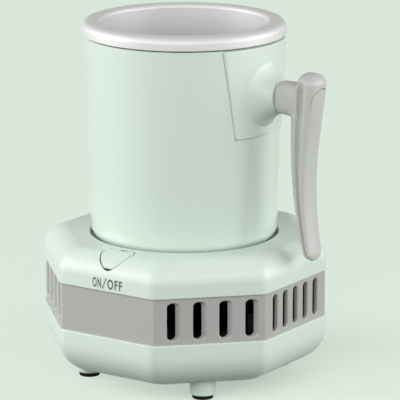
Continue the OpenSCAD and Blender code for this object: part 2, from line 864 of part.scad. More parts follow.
module base_tray() {
    rib_w = 4;
    rows = floor((fan_bore_r - intake_w) / intake_pitch);
    color([0.8, 0.88, 0.82])
    difference() {
        union() {
            difference() {
                tray_form(0);
                tray_form(housing_wall);
            }
            // lip that stands inside the band, on its ledge
            octagon_ring(lip_half, lip_half - lip_t, band_z - ledge_h, lip_h + ledge_h);
            octagon_ring(half - housing_wall + bite, lip_half - lip_t, band_z - ledge_h, ledge_h);
            // stubs of the feet, posts of the fan and sleeves of the housing screws
            places(foot_offset, foot_offset)
                translate([0, 0, pad_h]) cylinder(r = stub_r, h = tray_floor_z - bite - pad_h);
            places(fan_holes / 2, fan_holes / 2)
                translate([0, 0, tray_floor_z - bite])
                    cylinder(r = post_r, h = fan_z - tray_floor_z + bite);
            intersection() {
                places(tray_screw_x, tray_screw_y) cylinder(r = screw_head_r + boss_wall, h = band_z);
                tray_form(bite);
            }
        }
        // air slots under the fan, with a rib left down the middle
        translate([0, 0, tray_clear - cut])
            linear_extrude(height = housing_wall + 2 * cut)
                difference() {
                    for (k = [-rows:rows]) {
                        y = k * intake_pitch;
                        reach = sqrt(pow(fan_bore_r, 2) - pow(abs(y) + intake_w / 2, 2));
                        translate([0, y]) square([2 * reach, intake_w], center = true);
                    }
                    square([rib_w, 2 * fan_bore_r], center = true);
                    places(foot_offset, foot_offset) circle(r = stub_r + boss_wall);
                }
        places(foot_offset, foot_offset)
            translate([0, 0, pad_h - cut]) cylinder(r = pad_stem_r + run, h = pad_stem_h + fit + cut);
        places(fan_holes / 2, fan_holes / 2)
            translate([0, 0, tray_floor_z]) cylinder(r = screw_r + run, h = fan_z - tray_floor_z + cut);
        places(tray_screw_x, tray_screw_y) {
            cylinder(r = screw_head_r + fit, h = tray_seat_z);
            cylinder(r = screw_r + fit, h = band_z + cut);
        }
    }
}

module foot_pad(sx, sy) {
    color([0.08, 0.08, 0.08])
    translate([sx * foot_offset, sy * foot_offset, 0])
        union() {
            cylinder(r = pad_r, h = pad_h);
            translate([0, 0, pad_h]) cylinder(r = pad_stem_r, h = pad_stem_h);
        }
}

module tray_screws() {
    color("dimgray")
    places(tray_screw_x, tray_screw_y)
        translate([0, 0, tray_seat_z]) mirror([0, 0, 1])
            screw(screw_head_r, screw_head_h, screw_r, band_z - tray_seat_z + tray_grip);
}

// Cooling stack

module cold_plate() {
    color("lightsteelblue")
    union() {
        translate([0, 0, plate_z]) cylinder(r = plate_flange_r, h = plate_flange_z - plate_z);
        translate([0, 0, plate_z]) cylinder(r = plate_neck_r, h = plate_stack_h);
    }
}

module plate_gasket() {
    color("dimgray")
    translate([0, 0, plate_flange_z]) tube(plate_flange_r, plate_neck_r + fit, plate_gasket_t);
}

module module_frame() {
    margin = 9;
    color("black")
    translate([0, 0, sink_top_z])
        linear_extrude(height = module_t)
            difference() {
                square(module_size + 2 * margin, center = true);
                square(module_size + 2 * fit, center = true);
            }
}

module peltier_module() {
    color("white")
    translate([-module_size / 2, -module_size / 2, sink_top_z]) cube([module_size, module_size, module_t]);
}

module heat_sink() {
    fins = floor((stack_size - fin_t) / fin_pitch / 2);
    corner = 2 * (stack_size / 2 - clamp_offset);
    color([0.12, 0.12, 0.12])
    difference() {
        union() {
            translate([-stack_size / 2, -stack_size / 2, fin_top_z])
                cube([stack_size, stack_size, sink_base_t]);
            for (k = [-fins:fins])
                translate([-stack_size / 2, k * fin_pitch - fin_t / 2, sink_z])
                    cube([stack_size, fin_t, fin_h]);
        }
        places(clamp_offset, clamp_offset) {
            translate([-corner / 2 - fit, -corner / 2 - fit, sink_z - cut])
                cube([corner + 2 * fit, corner + 2 * fit, fin_h + cut]);
            translate([0, 0, fin_top_z - cut]) cylinder(r = screw_r + fit, h = sink_base_t + 2 * cut);
        }
    }
}

module clamp_screws() {
    color("darkgray")
    places(clamp_offset, clamp_offset)
        translate([0, 0, fin_top_z]) mirror([0, 0, 1])
            screw(screw_head_r, screw_head_h, screw_r, sink_base_t + clamp_grip);
}

// Fan

module fan_frame() {
    corner_r = 4;
    strut_w = 3;
    color([0.1, 0.1, 0.1])
    difference() {
        union() {
            difference() {
                translate([0, 0, fan_z])
                    linear_extrude(height = fan_h)
                        union() {
                            square([stack_size - 2 * corner_r, stack_size], center = true);
                            square([stack_size, stack_size - 2 * corner_r], center = true);
                            places(stack_size / 2 - corner_r, stack_size / 2 - corner_r) circle(r = corner_r);
                        }
                translate([0, 0, fan_z - cut]) cylinder(r = fan_bore_r, h = fan_h + 2 * cut);
            }
            // motor seat on four struts at the outlet, with the bearing's tube below it
            translate([0, 0, hub_top_z]) cylinder(r = hub_r, h = motor_seat_t);
            for (turn = [45:90:315])
                rotate([0, 0, turn]) translate([0, -strut_w / 2, hub_top_z])
                    cube([fan_bore_r + cut, strut_w, motor_seat_t]);
            translate([0, 0, bearing_z]) cylinder(r = bearing_tube_r, h = hub_top_z - bearing_z + bite);
        }
        translate([0, 0, rotor_z]) cylinder(r = bearing_r, h = hub_top_z - rotor_z);
        places(fan_holes / 2, fan_holes / 2) {
            translate([0, 0, fan_z - cut]) cylinder(r = screw_r + bite, h = fan_h + 2 * cut);
            translate([0, 0, fan_seat_z]) cylinder(r = screw_head_r + fit, h = fan_h);
        }
    }
}

module fan_bearing() {
    color("goldenrod")
    translate([0, 0, bearing_z]) tube(bearing_r, shaft_r + run, hub_top_z - bearing_z);
}

module fan_stator() {
    outer = hub_r - 4;
    core_wall = 2;
    arm_w = 5;
    shoe_t = 1.8;
    shoe_gap = 3;
    low = bearing_z + rotor_gap;
    color("peru")
    translate([0, 0, low])
        linear_extrude(height = hub_top_z - low)
            difference() {
                union() {
                    circle(r = bearing_tube_r + core_wall);
                    intersection() {
                        circle(r = outer);
                        union() {
                            square([2 * outer, arm_w], center = true);
                            square([arm_w, 2 * outer], center = true);
                        }
                    }
                    difference() {
                        circle(r = outer);
                        circle(r = outer - shoe_t);
                        for (turn = [45, 135])
                            rotate(turn) square([3 * outer, shoe_gap], center = true);
                    }
                }
                circle(r = bearing_tube_r);
            }
}

// Blade section: a thin crescent from the hub to the tip
module fan_blade() {
    tip_gap = 1.5;
    sweep_r = 30;
    blade_t = 1.5;
    root = 6;
    turn = 32;
    linear_extrude(height = hub_top_z - rotor_z - 2 * tip_gap, twist = -turn, slices = 5, $fn = 32)
        intersection() {
            difference() {
                translate([hub_r - root, sweep_r]) circle(r = sweep_r);
                translate([hub_r - root, sweep_r]) circle(r = sweep_r - blade_t);
            }
            translate([hub_r - cut, -cut]) square([fan_bore_r - tip_gap - hub_r - cut, sweep_r / 2]);
        }
}

module fan_rotor() {
    color([0.13, 0.13, 0.13])
    union() {
        translate([0, 0, rotor_z]) cylinder(r = hub_r, h = rotor_wall);
        translate([0, 0, rotor_z]) tube(hub_r, hub_r - rotor_wall, hub_top_z - rotor_gap - rotor_z);
        translate([0, 0, rotor_z]) cylinder(r = shaft_r, h = hub_top_z - rotor_gap - rotor_z);
        for (k = [0:blades - 1])
            rotate([0, 0, k * 360 / blades]) translate([0, 0, rotor_z + rotor_gap]) fan_blade();
    }
}

module fan_screws() {
    color("dimgray")
    places(fan_holes / 2, fan_holes / 2)
        translate([0, 0, fan_seat_z])
            screw(screw_head_r, screw_head_h, screw_r, fan_seat_z - tray_floor_z - cut);
}

// Board, switch, button and power inlet

module control_board() {
    color("darkgreen")
    difference() {
        translate([-board_w / 2, board_y, board_top_z - board_t]) cube([board_w, board_d, board_t]);
        board_places()
            translate([0, 0, -board_t - cut]) cylinder(r = small_screw_r + fit, h = board_t + 2 * cut);
    }
}

module board_screws() {
    head_r = 2.2;
    head_h = 1.4;
    color("darkgray")
    board_places()
        translate([0, 0, -board_t]) mirror([0, 0, 1])
            screw(head_r, head_h, small_screw_r, board_t + board_grip);
}

module switch_body() {
    color([0.15, 0.15, 0.16])
    difference() {
        translate([-switch_size / 2, button_y - switch_size / 2, board_top_z])
            cube([switch_size, switch_size, switch_h]);
        translate([0, button_y, board_top_z + switch_floor]) cylinder(r = plunger_r + run, h = switch_h);
    }
}

module switch_plunger() {
    low = board_top_z + switch_floor + button_travel + fit;
    color("black")
    translate([0, button_y, low]) cylinder(r = plunger_r, h = plunger_top_z - low);
}

module indicator_led() {
    color("lightgreen")
    translate([0, slit_y, board_top_z])
        union() {
            translate([-led_size[0] / 2, -led_size[1] / 2, 0]) cube(led_size);
            translate([0, 0, led_size[2]]) cylinder(r = led_dome_r, h = led_dome_r);
        }
}

module button_cap() {
    color([0.84, 0.92, 0.86])
    difference() {
        union() {
            difference() {
                intersection() {
                    translate([0, button_y, skirt_z]) cylinder(r = button_r, h = cover_h);
                    cover_form(0);
                }
                intersection() {
                    translate([0, button_y, skirt_z - cut])
                        cylinder(r = button_r - button_wall, h = cover_h);
                    cover_form(button_wall);
                }
            }
            translate([0, button_y, plunger_top_z])
                cylinder(r = plunger_r + bite, h = cover_top_z - bite - plunger_top_z);
        }
        translate([-slit_l / 2 - run, slit_y - slit_w / 2 - run, skirt_z - cut])
            cube([slit_l + 2 * run, slit_w + 2 * run, cover_h]);
    }
}

module indicator_lens() {
    color("honeydew")
    translate([-slit_l / 2, slit_y - slit_w / 2, cover_top_z - lens_h]) cube([slit_l, slit_w, lens_h]);
}

module dc_jack() {
    pin_set_back = 1;
    color([0.1, 0.1, 0.1])
    translate([0, half, jack_z]) rotate([90, 0, 0])
        union() {
            difference() {
                union() {
                    cylinder(r = jack_thread_r + jack_flange, h = band_inset);
                    cylinder(r = jack_thread_r, h = jack_depth);
                }
                translate([0, 0, -cut]) cylinder(r = inlet_r, h = jack_depth - jack_floor + cut);
            }
            translate([0, 0, pin_set_back]) cylinder(r = inlet_pin_r, h = jack_depth - pin_set_back - bite);
        }
}

module jack_nut() {
    color("gray")
    translate([0, band_half - band_wall, jack_z]) rotate([90, 0, 0])
        difference() {
            cylinder(r = jack_thread_r + jack_flange, h = nut_h, $fn = 6);
            translate([0, 0, -cut]) cylinder(r = jack_thread_r + run, h = nut_h + 2 * cut);
        }
}

inner_cup();
rim_gasket();
outer_shell();
insulation_sleeve();
thermal_foot();
thermal_foot_screws();
foot_seal();
handle_bracket();
bracket_screws();
handle();
handle_screw();
handle_cap();
top_cover();
vent_band();
base_tray();
foot_pad(1, -1);  // foot_pad_1
foot_pad(1, 1);  // foot_pad_2
foot_pad(-1, 1);  // foot_pad_3
foot_pad(-1, -1);  // foot_pad_4
cold_plate();
plate_gasket();
module_frame();
peltier_module();
heat_sink();
clamp_screws();
fan_frame();
fan_stator();
fan_bearing();
fan_rotor();
fan_screws();
control_board();
board_screws();
switch_body();
switch_plunger();
indicator_led();
button_cap();
indicator_lens();
dc_jack();
jack_nut();
tray_screws();
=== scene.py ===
"""Instant drink cooler: the finish of every piece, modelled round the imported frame."""

import math

import bmesh
import bpy
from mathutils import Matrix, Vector


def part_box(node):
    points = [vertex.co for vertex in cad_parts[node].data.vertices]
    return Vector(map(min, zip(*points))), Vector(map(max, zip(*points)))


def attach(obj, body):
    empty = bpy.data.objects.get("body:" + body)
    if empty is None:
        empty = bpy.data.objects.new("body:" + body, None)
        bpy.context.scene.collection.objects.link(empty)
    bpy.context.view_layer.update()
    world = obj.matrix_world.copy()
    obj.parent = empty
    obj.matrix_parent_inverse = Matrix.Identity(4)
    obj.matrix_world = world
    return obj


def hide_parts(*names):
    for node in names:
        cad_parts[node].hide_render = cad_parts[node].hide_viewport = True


bl_info = {
    "name": "Drink cooler",
    "version": (1, 0, 0),
    "blender": (4, 5, 0),
    "location": "View3D > Sidebar > Cooler",
    "description": "Builds the visible pieces of an instant drink cooler and its studio",
    "category": "Object",
}

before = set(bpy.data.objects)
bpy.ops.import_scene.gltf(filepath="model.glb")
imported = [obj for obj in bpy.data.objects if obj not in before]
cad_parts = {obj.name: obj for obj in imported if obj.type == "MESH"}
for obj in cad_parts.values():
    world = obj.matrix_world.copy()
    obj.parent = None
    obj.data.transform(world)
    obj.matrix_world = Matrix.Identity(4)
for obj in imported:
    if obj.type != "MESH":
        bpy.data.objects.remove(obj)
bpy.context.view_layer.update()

MM = 0.001
TINY = 0.02 * MM
MERGE = TINY / 10
CORNER = math.radians(22.5)
ROUND = 192  # steps round a large turned piece

_, COVER_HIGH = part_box("top_cover")
BAND_LOW, BAND_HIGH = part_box("vent_band")
SHELL_LOW, SHELL_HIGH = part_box("outer_shell")
CUP_LOW, CUP_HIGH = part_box("inner_cup")
_, COLD_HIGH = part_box("cold_plate")
JACK_LOW, JACK_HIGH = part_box("dc_jack")


def linear(red, green, blue):
    """A colour as a screen shows it, from 0 to 255, in the linear values that a shader takes."""
    def channel(value):
        part = value / 255
        return part / 12.92 if part <= 0.04045 else ((part + 0.055) / 1.055) ** 2.4
    return channel(red), channel(green), channel(blue), 1.0


def length(name, description, default):
    return bpy.props.FloatProperty(name=name, description=description, default=default, unit="LENGTH",
                                   subtype="DISTANCE", precision=5)


def colour(name, description, default):
    return bpy.props.FloatVectorProperty(name=name, description=description, default=default, size=4,
                                         subtype="COLOR", min=0, max=1)


class CoolerSizes(bpy.types.PropertyGroup):
    """Sizes of the cooler that the frame's boxes don't give by themselves"""
    housing_wall: length("Housing wall", "Wall of the cover and the tray", 2.4 * MM)
    cover_edge: length("Cover edge", "Radius of the cover's upper edge", 11 * MM)
    tray_edge: length("Tray edge", "Radius of the tray's lower edge", 17 * MM)
    tray_under: length("Tray underside", "Height of the tray's underside above the table", 8.5 * MM)
    corner_bevel: length("Corner bevel", "Bevel that softens the eight corners of the housing", 2.6 * MM)
    lip_bevel: length("Lip bevel", "Bevel along the lips beside the vented band", 0.45 * MM)
    well_radius: length("Well radius", "Radius of the well that the mug stands in", 45.5 * MM)
    well_depth: length("Well depth", "Depth of that well", 4.3 * MM)
    well_chamfer: length("Well chamfer", "Chamfer round the well", 0.6 * MM)
    band_wall: length("Band wall", "Wall of the vented band", 1.9 * MM)
    slot_width: length("Slot width", "Width of a vent slot", 4 * MM)
    slot_height: length("Slot height", "Height of a vent slot", 17.9 * MM)
    slot_pitch: length("Slot pitch", "Distance between neighbouring slots", 8.8 * MM)
    slot_bevel: length("Slot bevel", "Width of the rounding along a slot's outer edge", 1 * MM)
    corner_slot: length("Corner slot", "Distance of the first corner slot from the middle plane", 30.8 * MM)
    intake_width: length("Intake width", "Width of the air slots under the tray", 3.4 * MM)
    intake_pitch: length("Intake pitch", "Distance between the air slots under the tray", 6.8 * MM)
    intake_radius: length("Intake radius", "Radius of the field of air slots under the tray", 38 * MM)
    stub_radius: length("Stub radius", "Radius of a foot's stub", 6.1 * MM)
    button_radius: length("Button radius", "Radius of the push button", 7.75 * MM)
    button_gap: length("Button gap", "Gap round the push button", 0.6 * MM)
    button_depth: length("Button depth", "Depth of the push button below the cover's top", 6 * MM)
    button_inset: length("Button inset", "Distance of the button's axis from the front flat", 9.2 * MM)
    shell_wall: length("Shell wall", "Wall of the mug's shell", 2.2 * MM)
    shell_edge: length("Shell edge", "Radius of the shell's lower edge", 7 * MM)
    shell_lift: length("Shell lift", "How far the shell reaches above the frame's shell", 0.9 * MM)
    shell_flare: length("Shell flare", "How much wider the shell is at its top than at its foot", 2.75 * MM)
    foot_opening: length("Foot opening", "Radius of the opening in the shell's foot", 30.5 * MM)
    cup_radius: length("Cup radius", "Radius of the drink space", 40 * MM)
    cup_wall: length("Cup wall", "Wall of the aluminium cup", 1.2 * MM)
    cup_floor: length("Cup floor", "Thickness of the cup's floor", 4 * MM)
    cup_corner: length("Cup corner", "Radius between the cup's wall and floor", 6 * MM)
    rim_height: length("Rim height", "Height of the rolled rim", 6.4 * MM)
    rim_drop: length("Rim drop", "How far the rim's top lies below the frame's", 0.6 * MM)
    rim_outer: length("Rim outer edge", "Rounding of the rim's outer edge", 3.4 * MM)
    rim_inner: length("Rim inner edge", "Rounding of the rim's inner edge", 2 * MM)
    handle_drop: length("Handle drop", "Distance of the handle's screw below the shell's upper edge", 23.3 * MM)
    plate_top: length("Plate top width", "Width of the bracket's plate along its upper edge", 53 * MM)
    plate_low: length("Plate lower width", "Width of the bracket's plate along its lower edge", 39 * MM)
    plate_height: length("Plate height", "Height of the bracket's plate", 42.9 * MM)
    plate_proud: length("Plate proud", "How far the plate stands out of the shell", 0.8 * MM)
    plate_margin: length("Plate margin", "Distance of the plate from the lifted shell's upper edge", 0.4 * MM)
    plate_gap: length("Plate gap", "Gap that shows round the bracket's plate", 0.18 * MM)
    boss_base: length("Boss base", "Radius of the trumpet boss on the plate", 15.2 * MM)
    boss_neck: length("Boss neck", "Radius of the trumpet boss at its neck", 8 * MM)
    boss_length: length("Boss length", "Length of the boss from the shell to its neck", 8.4 * MM)
    stem_radius: length("Stem radius", "Radius of the handle's stem", 7.7 * MM)
    grip_reach: length("Grip reach", "Distance from the boss's neck to the middle of the grip's head", 15 * MM)
    grip_bow: length("Grip bow", "How far the grip bows back towards the mug", 6.8 * MM)
    grip_kick: length("Grip kick", "How far the grip's tip kicks out", 3.2 * MM)
    grip_rise: length("Grip rise", "Height of the grip's head above its screw", 13.4 * MM)
    grip_drop: length("Grip drop", "Drop of the grip's tip below its screw", 76.8 * MM)
    head_depth: length("Head depth", "Depth of the grip at its head", 16 * MM)
    tip_depth: length("Tip depth", "Depth of the grip at its tip", 5.5 * MM)
    head_width: length("Head width", "Width of the grip at its head", 15.2 * MM)
    tip_width: length("Tip width", "Width of the grip at its tip", 12 * MM)
    cap_width: length("Cap width", "Width of the oval cap over the handle's screw", 11.6 * MM)
    cap_height: length("Cap height", "Height of the oval cap over the handle's screw", 18 * MM)
    cap_drop: length("Cap drop", "Drop of the oval cap's middle below the handle's screw", 2.8 * MM)
    cap_thickness: length("Cap thickness", "Thickness of the oval cap", 2.2 * MM)


class CoolerColours(bpy.types.PropertyGroup):
    """Colours of the cooler and its studio"""
    mint: colour("Mint", "Glossy plastic of the mug and the housing", linear(203, 216, 206))
    grey: colour("Grey", "Satin plastic of the handle", linear(184, 184, 182))
    band_grey: colour("Band grey", "Satin plastic of the vented band", linear(166, 165, 163))
    ink: colour("Ink", "Printed lettering", linear(86, 90, 84))
    aluminium: colour("Aluminium", "Cup and rim", linear(206, 206, 205))
    inner_metal: colour("Inner metal", "Cold plate and thermal foot", linear(196, 198, 200))
    black: colour("Black", "Fan, inlet and heat sink", linear(22, 22, 22))
    rubber: colour("Rubber", "Pads and seals", linear(14, 15, 14))
    steel: colour("Steel", "Blackened screws", linear(48, 48, 50))
    backdrop: colour("Backdrop", "Floor and backdrop", linear(218, 232, 219))


# Work in edit mode

def pick(*objects):
    """Selects these objects alone and makes the last one active."""
    if bpy.context.mode != "OBJECT":
        bpy.ops.object.mode_set(mode="OBJECT")
    bpy.ops.object.select_all(action="DESELECT")
    for thing in objects:
        thing.select_set(True)
        bpy.context.view_layer.objects.active = thing


def edit(thing):
    pick(thing)
    bpy.ops.object.mode_set(mode="EDIT")
    bpy.ops.mesh.select_mode(type="VERT")
    bpy.ops.mesh.select_all(action="SELECT")


def leave():
    bpy.ops.object.mode_set(mode="OBJECT")


def choose(kind, test):
    """Selects the VERT, EDGE or FACE elements of the mesh in edit mode that pass the test."""
    mesh = bpy.context.edit_object.data
    bpy.ops.mesh.select_mode(type=kind)
    bpy.ops.mesh.select_all(action="DESELECT")
    shape = bmesh.from_edit_mesh(mesh)
    elements = {"VERT": shape.verts, "EDGE": shape.edges, "FACE": shape.faces}[kind]
    for element in elements:
        if test(element):
            element.select_set(True)
    bmesh.update_edit_mesh(mesh)


def bevel(thing, width, segments, test, measure="OFFSET"):
    """Bevels the edges of a piece that pass the test."""
    edit(thing)
    choose("EDGE", test)
    bpy.ops.mesh.bevel(offset=width, offset_type=measure, segments=segments, affect="EDGES")
    leave()


def stretch(thing, axis, amount):
    """Pulls the two halves of a mesh apart along an axis, so that a circle becomes a slot."""
    edit(thing)
    for side in (-1, 1):
        choose("VERT", lambda v: v.co[axis] * side > TINY)
        bpy.ops.transform.translate(value=[side * amount * (k == axis) for k in range(3)])
    leave()


def move(thing, x, y, z):
    edit(thing)
    bpy.ops.transform.translate(value=(x, y, z))
    leave()


def turn_about(thing, axis, angle):
    edit(thing)
    bpy.ops.transform.rotate(value=angle, orient_axis=axis, center_override=(0, 0, 0))
    leave()


def close_ends(thing):
    """Fills the open ends of a lofted piece."""
    edit(thing)
    bpy.ops.mesh.remove_doubles(threshold=MERGE)
    choose("EDGE", lambda e: e.is_boundary)
    bpy.ops.mesh.fill_holes(sides=0)
    bpy.ops.mesh.select_all(action="SELECT")
    bpy.ops.mesh.normals_make_consistent(inside=False)
    leave()


def added(name):
    """Names the object that was just added, and puts its place into its mesh."""
    thing = bpy.context.object
    bpy.ops.object.transform_apply(location=True, rotation=True, scale=True)
    thing.name = name
    thing.data.name = name
    return thing


def modify(thing, kind, **settings):
    """Adds a modifier and applies it."""
    pick(thing)
    bpy.ops.object.modifier_add(type=kind)
    step = thing.modifiers[-1]
    for key, value in settings.items():
        setattr(step, key, value)
    bpy.ops.object.modifier_apply(modifier=step.name)


def thicken(thing, wall):
    """Gives an open skin its wall, inwards."""
    modify(thing, "SOLIDIFY", thickness=wall, offset=-1, use_even_offset=True)


def carve(thing, tool, operation="DIFFERENCE"):
    """Cuts a tool out of a piece, or keeps what they share, and deletes the tool."""
    modify(thing, "BOOLEAN", operation=operation, solver="EXACT", object=tool)
    bpy.data.objects.remove(tool)


def join(*things):
    """Joins the objects into the last one."""
    pick(*things)
    bpy.ops.object.join()
    return bpy.context.object


def copied(thing, name):
    pick(thing)
    bpy.ops.object.duplicate()
    return added(name)


def smooth(thing, angle=32):
    """Smooth shading that keeps the edges sharper than the angle, led by the large faces."""
    pick(thing)
    bpy.ops.object.shade_smooth_by_angle(angle=math.radians(angle))
    modify(thing, "WEIGHTED_NORMAL", keep_sharp=True, weight=50)


def finish(thing, body, slot, skin, *nodes):
    """Gives a finished piece its material, its body and the nodes that it stands for."""
    thing.data.materials.clear()
    thing.data.materials.append(bpy.data.materials[skin])
    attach(thing, body)
    if nodes:
        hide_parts(*nodes)


def arc(centre, radius, start, end, steps):
    """Points on a circle in the (radius, height) plane, from one angle to another in degrees."""
    angles = [math.radians(start + (end - start) * k / steps) for k in range(steps + 1)]
    return [(centre[0] + radius * math.cos(a), centre[1] + radius * math.sin(a)) for a in angles]


def round_turns(steps):
    """Evenly spaced angles of a full turn."""
    return [math.tau * k / steps for k in range(steps)]


def lathe(name, outline, steps):
    """Spins a closed outline of (radius, height) points about the Z axis."""
    bpy.ops.mesh.primitive_plane_add(size=MM)
    edit(bpy.context.object)
    bpy.ops.mesh.merge(type="CENTER")
    path = [Vector((radius, 0, height)) for radius, height in outline]
    bpy.ops.transform.translate(value=path[0])
    for here, there in zip(path, path[1:] + path[:1]):
        bpy.ops.mesh.extrude_vertices_move(TRANSFORM_OT_translate={"value": there - here})
    bpy.ops.mesh.select_all(action="SELECT")
    bpy.ops.mesh.remove_doubles(threshold=MERGE)
    bpy.ops.mesh.spin(steps=steps, angle=math.tau, center=(0, 0, 0), axis=(0, 0, 1))
    bpy.ops.mesh.select_all(action="SELECT")
    bpy.ops.mesh.remove_doubles(threshold=MERGE)
    bpy.ops.mesh.normals_make_consistent(inside=False)
    leave()
    return added(name)


def loft(name, rings):
    """Extrudes a closed ring of points through every following ring."""
    count = len(rings[0])
    bpy.ops.mesh.primitive_circle_add(vertices=count, radius=MM)
    piece = bpy.context.object
    edit(piece)
    shape = bmesh.from_edit_mesh(piece.data)
    shape.verts.ensure_lookup_table()
    order = [shape.verts[0]]
    while len(order) < count:
        beside = [e.other_vert(order[-1]) for e in order[-1].link_edges]
        order.append(next(v for v in beside if v not in order))
    for vertex, place in zip(order, rings[0]):
        vertex.co = place
    for points in rings[1:]:
        before = [vertex.index for vertex in order]
        bmesh.update_edit_mesh(piece.data)
        bpy.ops.mesh.extrude_edges_move()
        shape = bmesh.from_edit_mesh(piece.data)
        shape.verts.ensure_lookup_table()
        fresh = {}
        for vertex in shape.verts:
            if vertex.select:
                beside = [e.other_vert(vertex) for e in vertex.link_edges]
                fresh[next(v.index for v in beside if not v.select)] = vertex
        order = [fresh[index] for index in before]
        for vertex, point in zip(order, points):
            vertex.co = point
        shape.verts.index_update()
    bmesh.update_edit_mesh(piece.data)
    bpy.ops.mesh.select_all(action="SELECT")
    bpy.ops.mesh.normals_make_consistent(inside=False)
    leave()
    return added(name)


def cylinder(name, radius, low, high, place=(0, 0), vertices=96):
    """A capped cylinder along Z, as a tool or a start."""
    bpy.ops.mesh.primitive_cylinder_add(vertices=vertices, radius=radius, depth=high - low,
                                        location=(place[0], place[1], (low + high) / 2))
    return added(name)


def eight_sided(name, flat, low, high, fill="NGON"):
    """A block with eight flat sides; the first side faces the front."""
    bpy.ops.mesh.primitive_cylinder_add(vertices=8, radius=flat / math.cos(CORNER), depth=high - low,
                                        location=(0, 0, (low + high) / 2), rotation=(0, 0, CORNER),
                                        end_fill_type=fill)
    return added(name)


def level(element, height):
    return all(abs(vertex.co.z - height) < TINY for vertex in element.verts)


def on_corner(edge):
    """True for an edge that lies in one of the eight planes through the housing's corners."""
    slack = 0.005
    turns = [(math.atan2(v.co.y, v.co.x) / CORNER) % 2 for v in edge.verts]
    return all(abs(turn - 1) < slack for turn in turns) and not level(edge, edge.verts[0].co.z)


def housing_block(name, flat, low, high, edge, rounded_high):
    """An eight-sided block with one rounded end and softened corners; its other end is open."""
    s = bpy.context.scene.cooler_sizes
    shut, opened = (high, low) if rounded_high else (low, high)
    block = eight_sided(name, flat, low, high)
    bevel(block, edge, 12, lambda e: level(e, shut))
    bevel(block, s.corner_bevel, 5, on_corner)
    edit(block)
    choose("FACE", lambda f: level(f, opened))
    bpy.ops.mesh.delete(type="FACE")
    leave()
    return block


def soften_lip(thing, height):
    """Bevels the lip of a housing half along the vented band."""
    s = bpy.context.scene.cooler_sizes
    bevel(thing, s.lip_bevel, 3, lambda e: level(e, height) and e.calc_face_angle(0) > 1)


# Finishes

def feed(tree, socket, value):
    """Links a socket to this one, or sets this one to a plain value."""
    if isinstance(value, bpy.types.NodeSocket):
        tree.links.new(value, socket)
    else:
        socket.default_value = value


def node(tree, kind, inputs=None, **settings):
    """Adds a shader node with its settings, and feeds its inputs by their label or place."""
    fresh = tree.nodes.new("ShaderNode" + kind)
    for label, value in settings.items():
        setattr(fresh, label, value)
    for label, value in (inputs or {}).items():
        feed(tree, fresh.inputs[label], value)
    return fresh


def noise(tree, place, scale, detail, roughness=0.5):
    values = {"Vector": place, "Scale": scale, "Detail": detail, "Roughness": roughness}
    return node(tree, "TexNoise", values).outputs["Fac"]


def reckon(tree, operation, first, second=0.0):
    """A Math node: its inputs are numbers or sockets."""
    return node(tree, "Math", {0: first, 1: second}, operation=operation).outputs[0]


def swing(tree, pattern, amount):
    """A pattern from 0 to 1, moved about 0 and multiplied by an amount."""
    return reckon(tree, "MULTIPLY", reckon(tree, "SUBTRACT", pattern, 0.5), amount)


def skin_group(name, floats):
    """A shader node group for a skin: its tree, its input sockets and the place on the piece."""
    tree = bpy.data.node_groups.new(name, "ShaderNodeTree")
    outputs = ["Roughness", "Height"]
    for side, labels in (("INPUT", floats), ("OUTPUT", outputs)):
        tree.interface.new_socket(name="Colour", in_out=side, socket_type="NodeSocketColor")
        for label in labels:
            tree.interface.new_socket(name=label, in_out=side, socket_type="NodeSocketFloat")
    start = tree.nodes.new("NodeGroupInput")
    return tree, start.outputs, node(tree, "TexCoord").outputs["Object"]


def end_group(tree, start, brightness, roughness, height):
    """Puts out the skin's colour, multiplied by a brightness, and its roughness and height."""
    end = tree.nodes.new("NodeGroupOutput")
    tint = node(tree, "HueSaturation", {"Color": start["Colour"], "Value": brightness})
    for label, value in (("Colour", tint.outputs["Color"]), ("Roughness", roughness), ("Height", height)):
        tree.links.new(value, end.inputs[label])


def moulded_skin():
    """Moulded plastic or rubber: a slow drift of tone and gloss, and the fine grain of the mould."""
    drift_scale, smear_scale, smear_amount = 18.0, 60.0, 0.10
    tree, start, place = skin_group("moulded_skin", ["Drift", "Roughness", "Grain scale"])
    drift = swing(tree, noise(tree, place, drift_scale, 3.0), start["Drift"])
    smear = swing(tree, noise(tree, place, smear_scale, 4.0, 0.65), smear_amount)
    grain = noise(tree, place, start["Grain scale"], 3.0, 0.6)
    end_group(tree, start, reckon(tree, "ADD", 1.0, drift), reckon(tree, "ADD", start["Roughness"], smear), grain)


def turned_metal():
    """Metal turned on a lathe: fine rings round the Z axis and a slow drift of tone."""
    drift_scale, drift_amount = 30.0, 0.05
    base_tone, ring_tone, ring_gloss = 0.97, 0.10, 0.18
    tree, start, place = skin_group("turned_metal", ["Roughness", "Rings"])
    x, y, z = node(tree, "SeparateXYZ", {0: place}).outputs
    squares = [reckon(tree, "MULTIPLY", part, part) for part in (x, y)]
    across = reckon(tree, "SQRT", reckon(tree, "ADD", *squares))
    ring = node(tree, "CombineXYZ", {0: across, 1: z}).outputs[0]
    lines = noise(tree, ring, start["Rings"], 4.0, 0.6)
    tone = reckon(tree, "ADD", base_tone, swing(tree, lines, ring_tone))
    drift = reckon(tree, "MULTIPLY", noise(tree, place, drift_scale, 3.0), drift_amount)
    gloss = reckon(tree, "ADD", start["Roughness"], swing(tree, lines, ring_gloss))
    end_group(tree, start, reckon(tree, "ADD", tone, drift), gloss, lines)


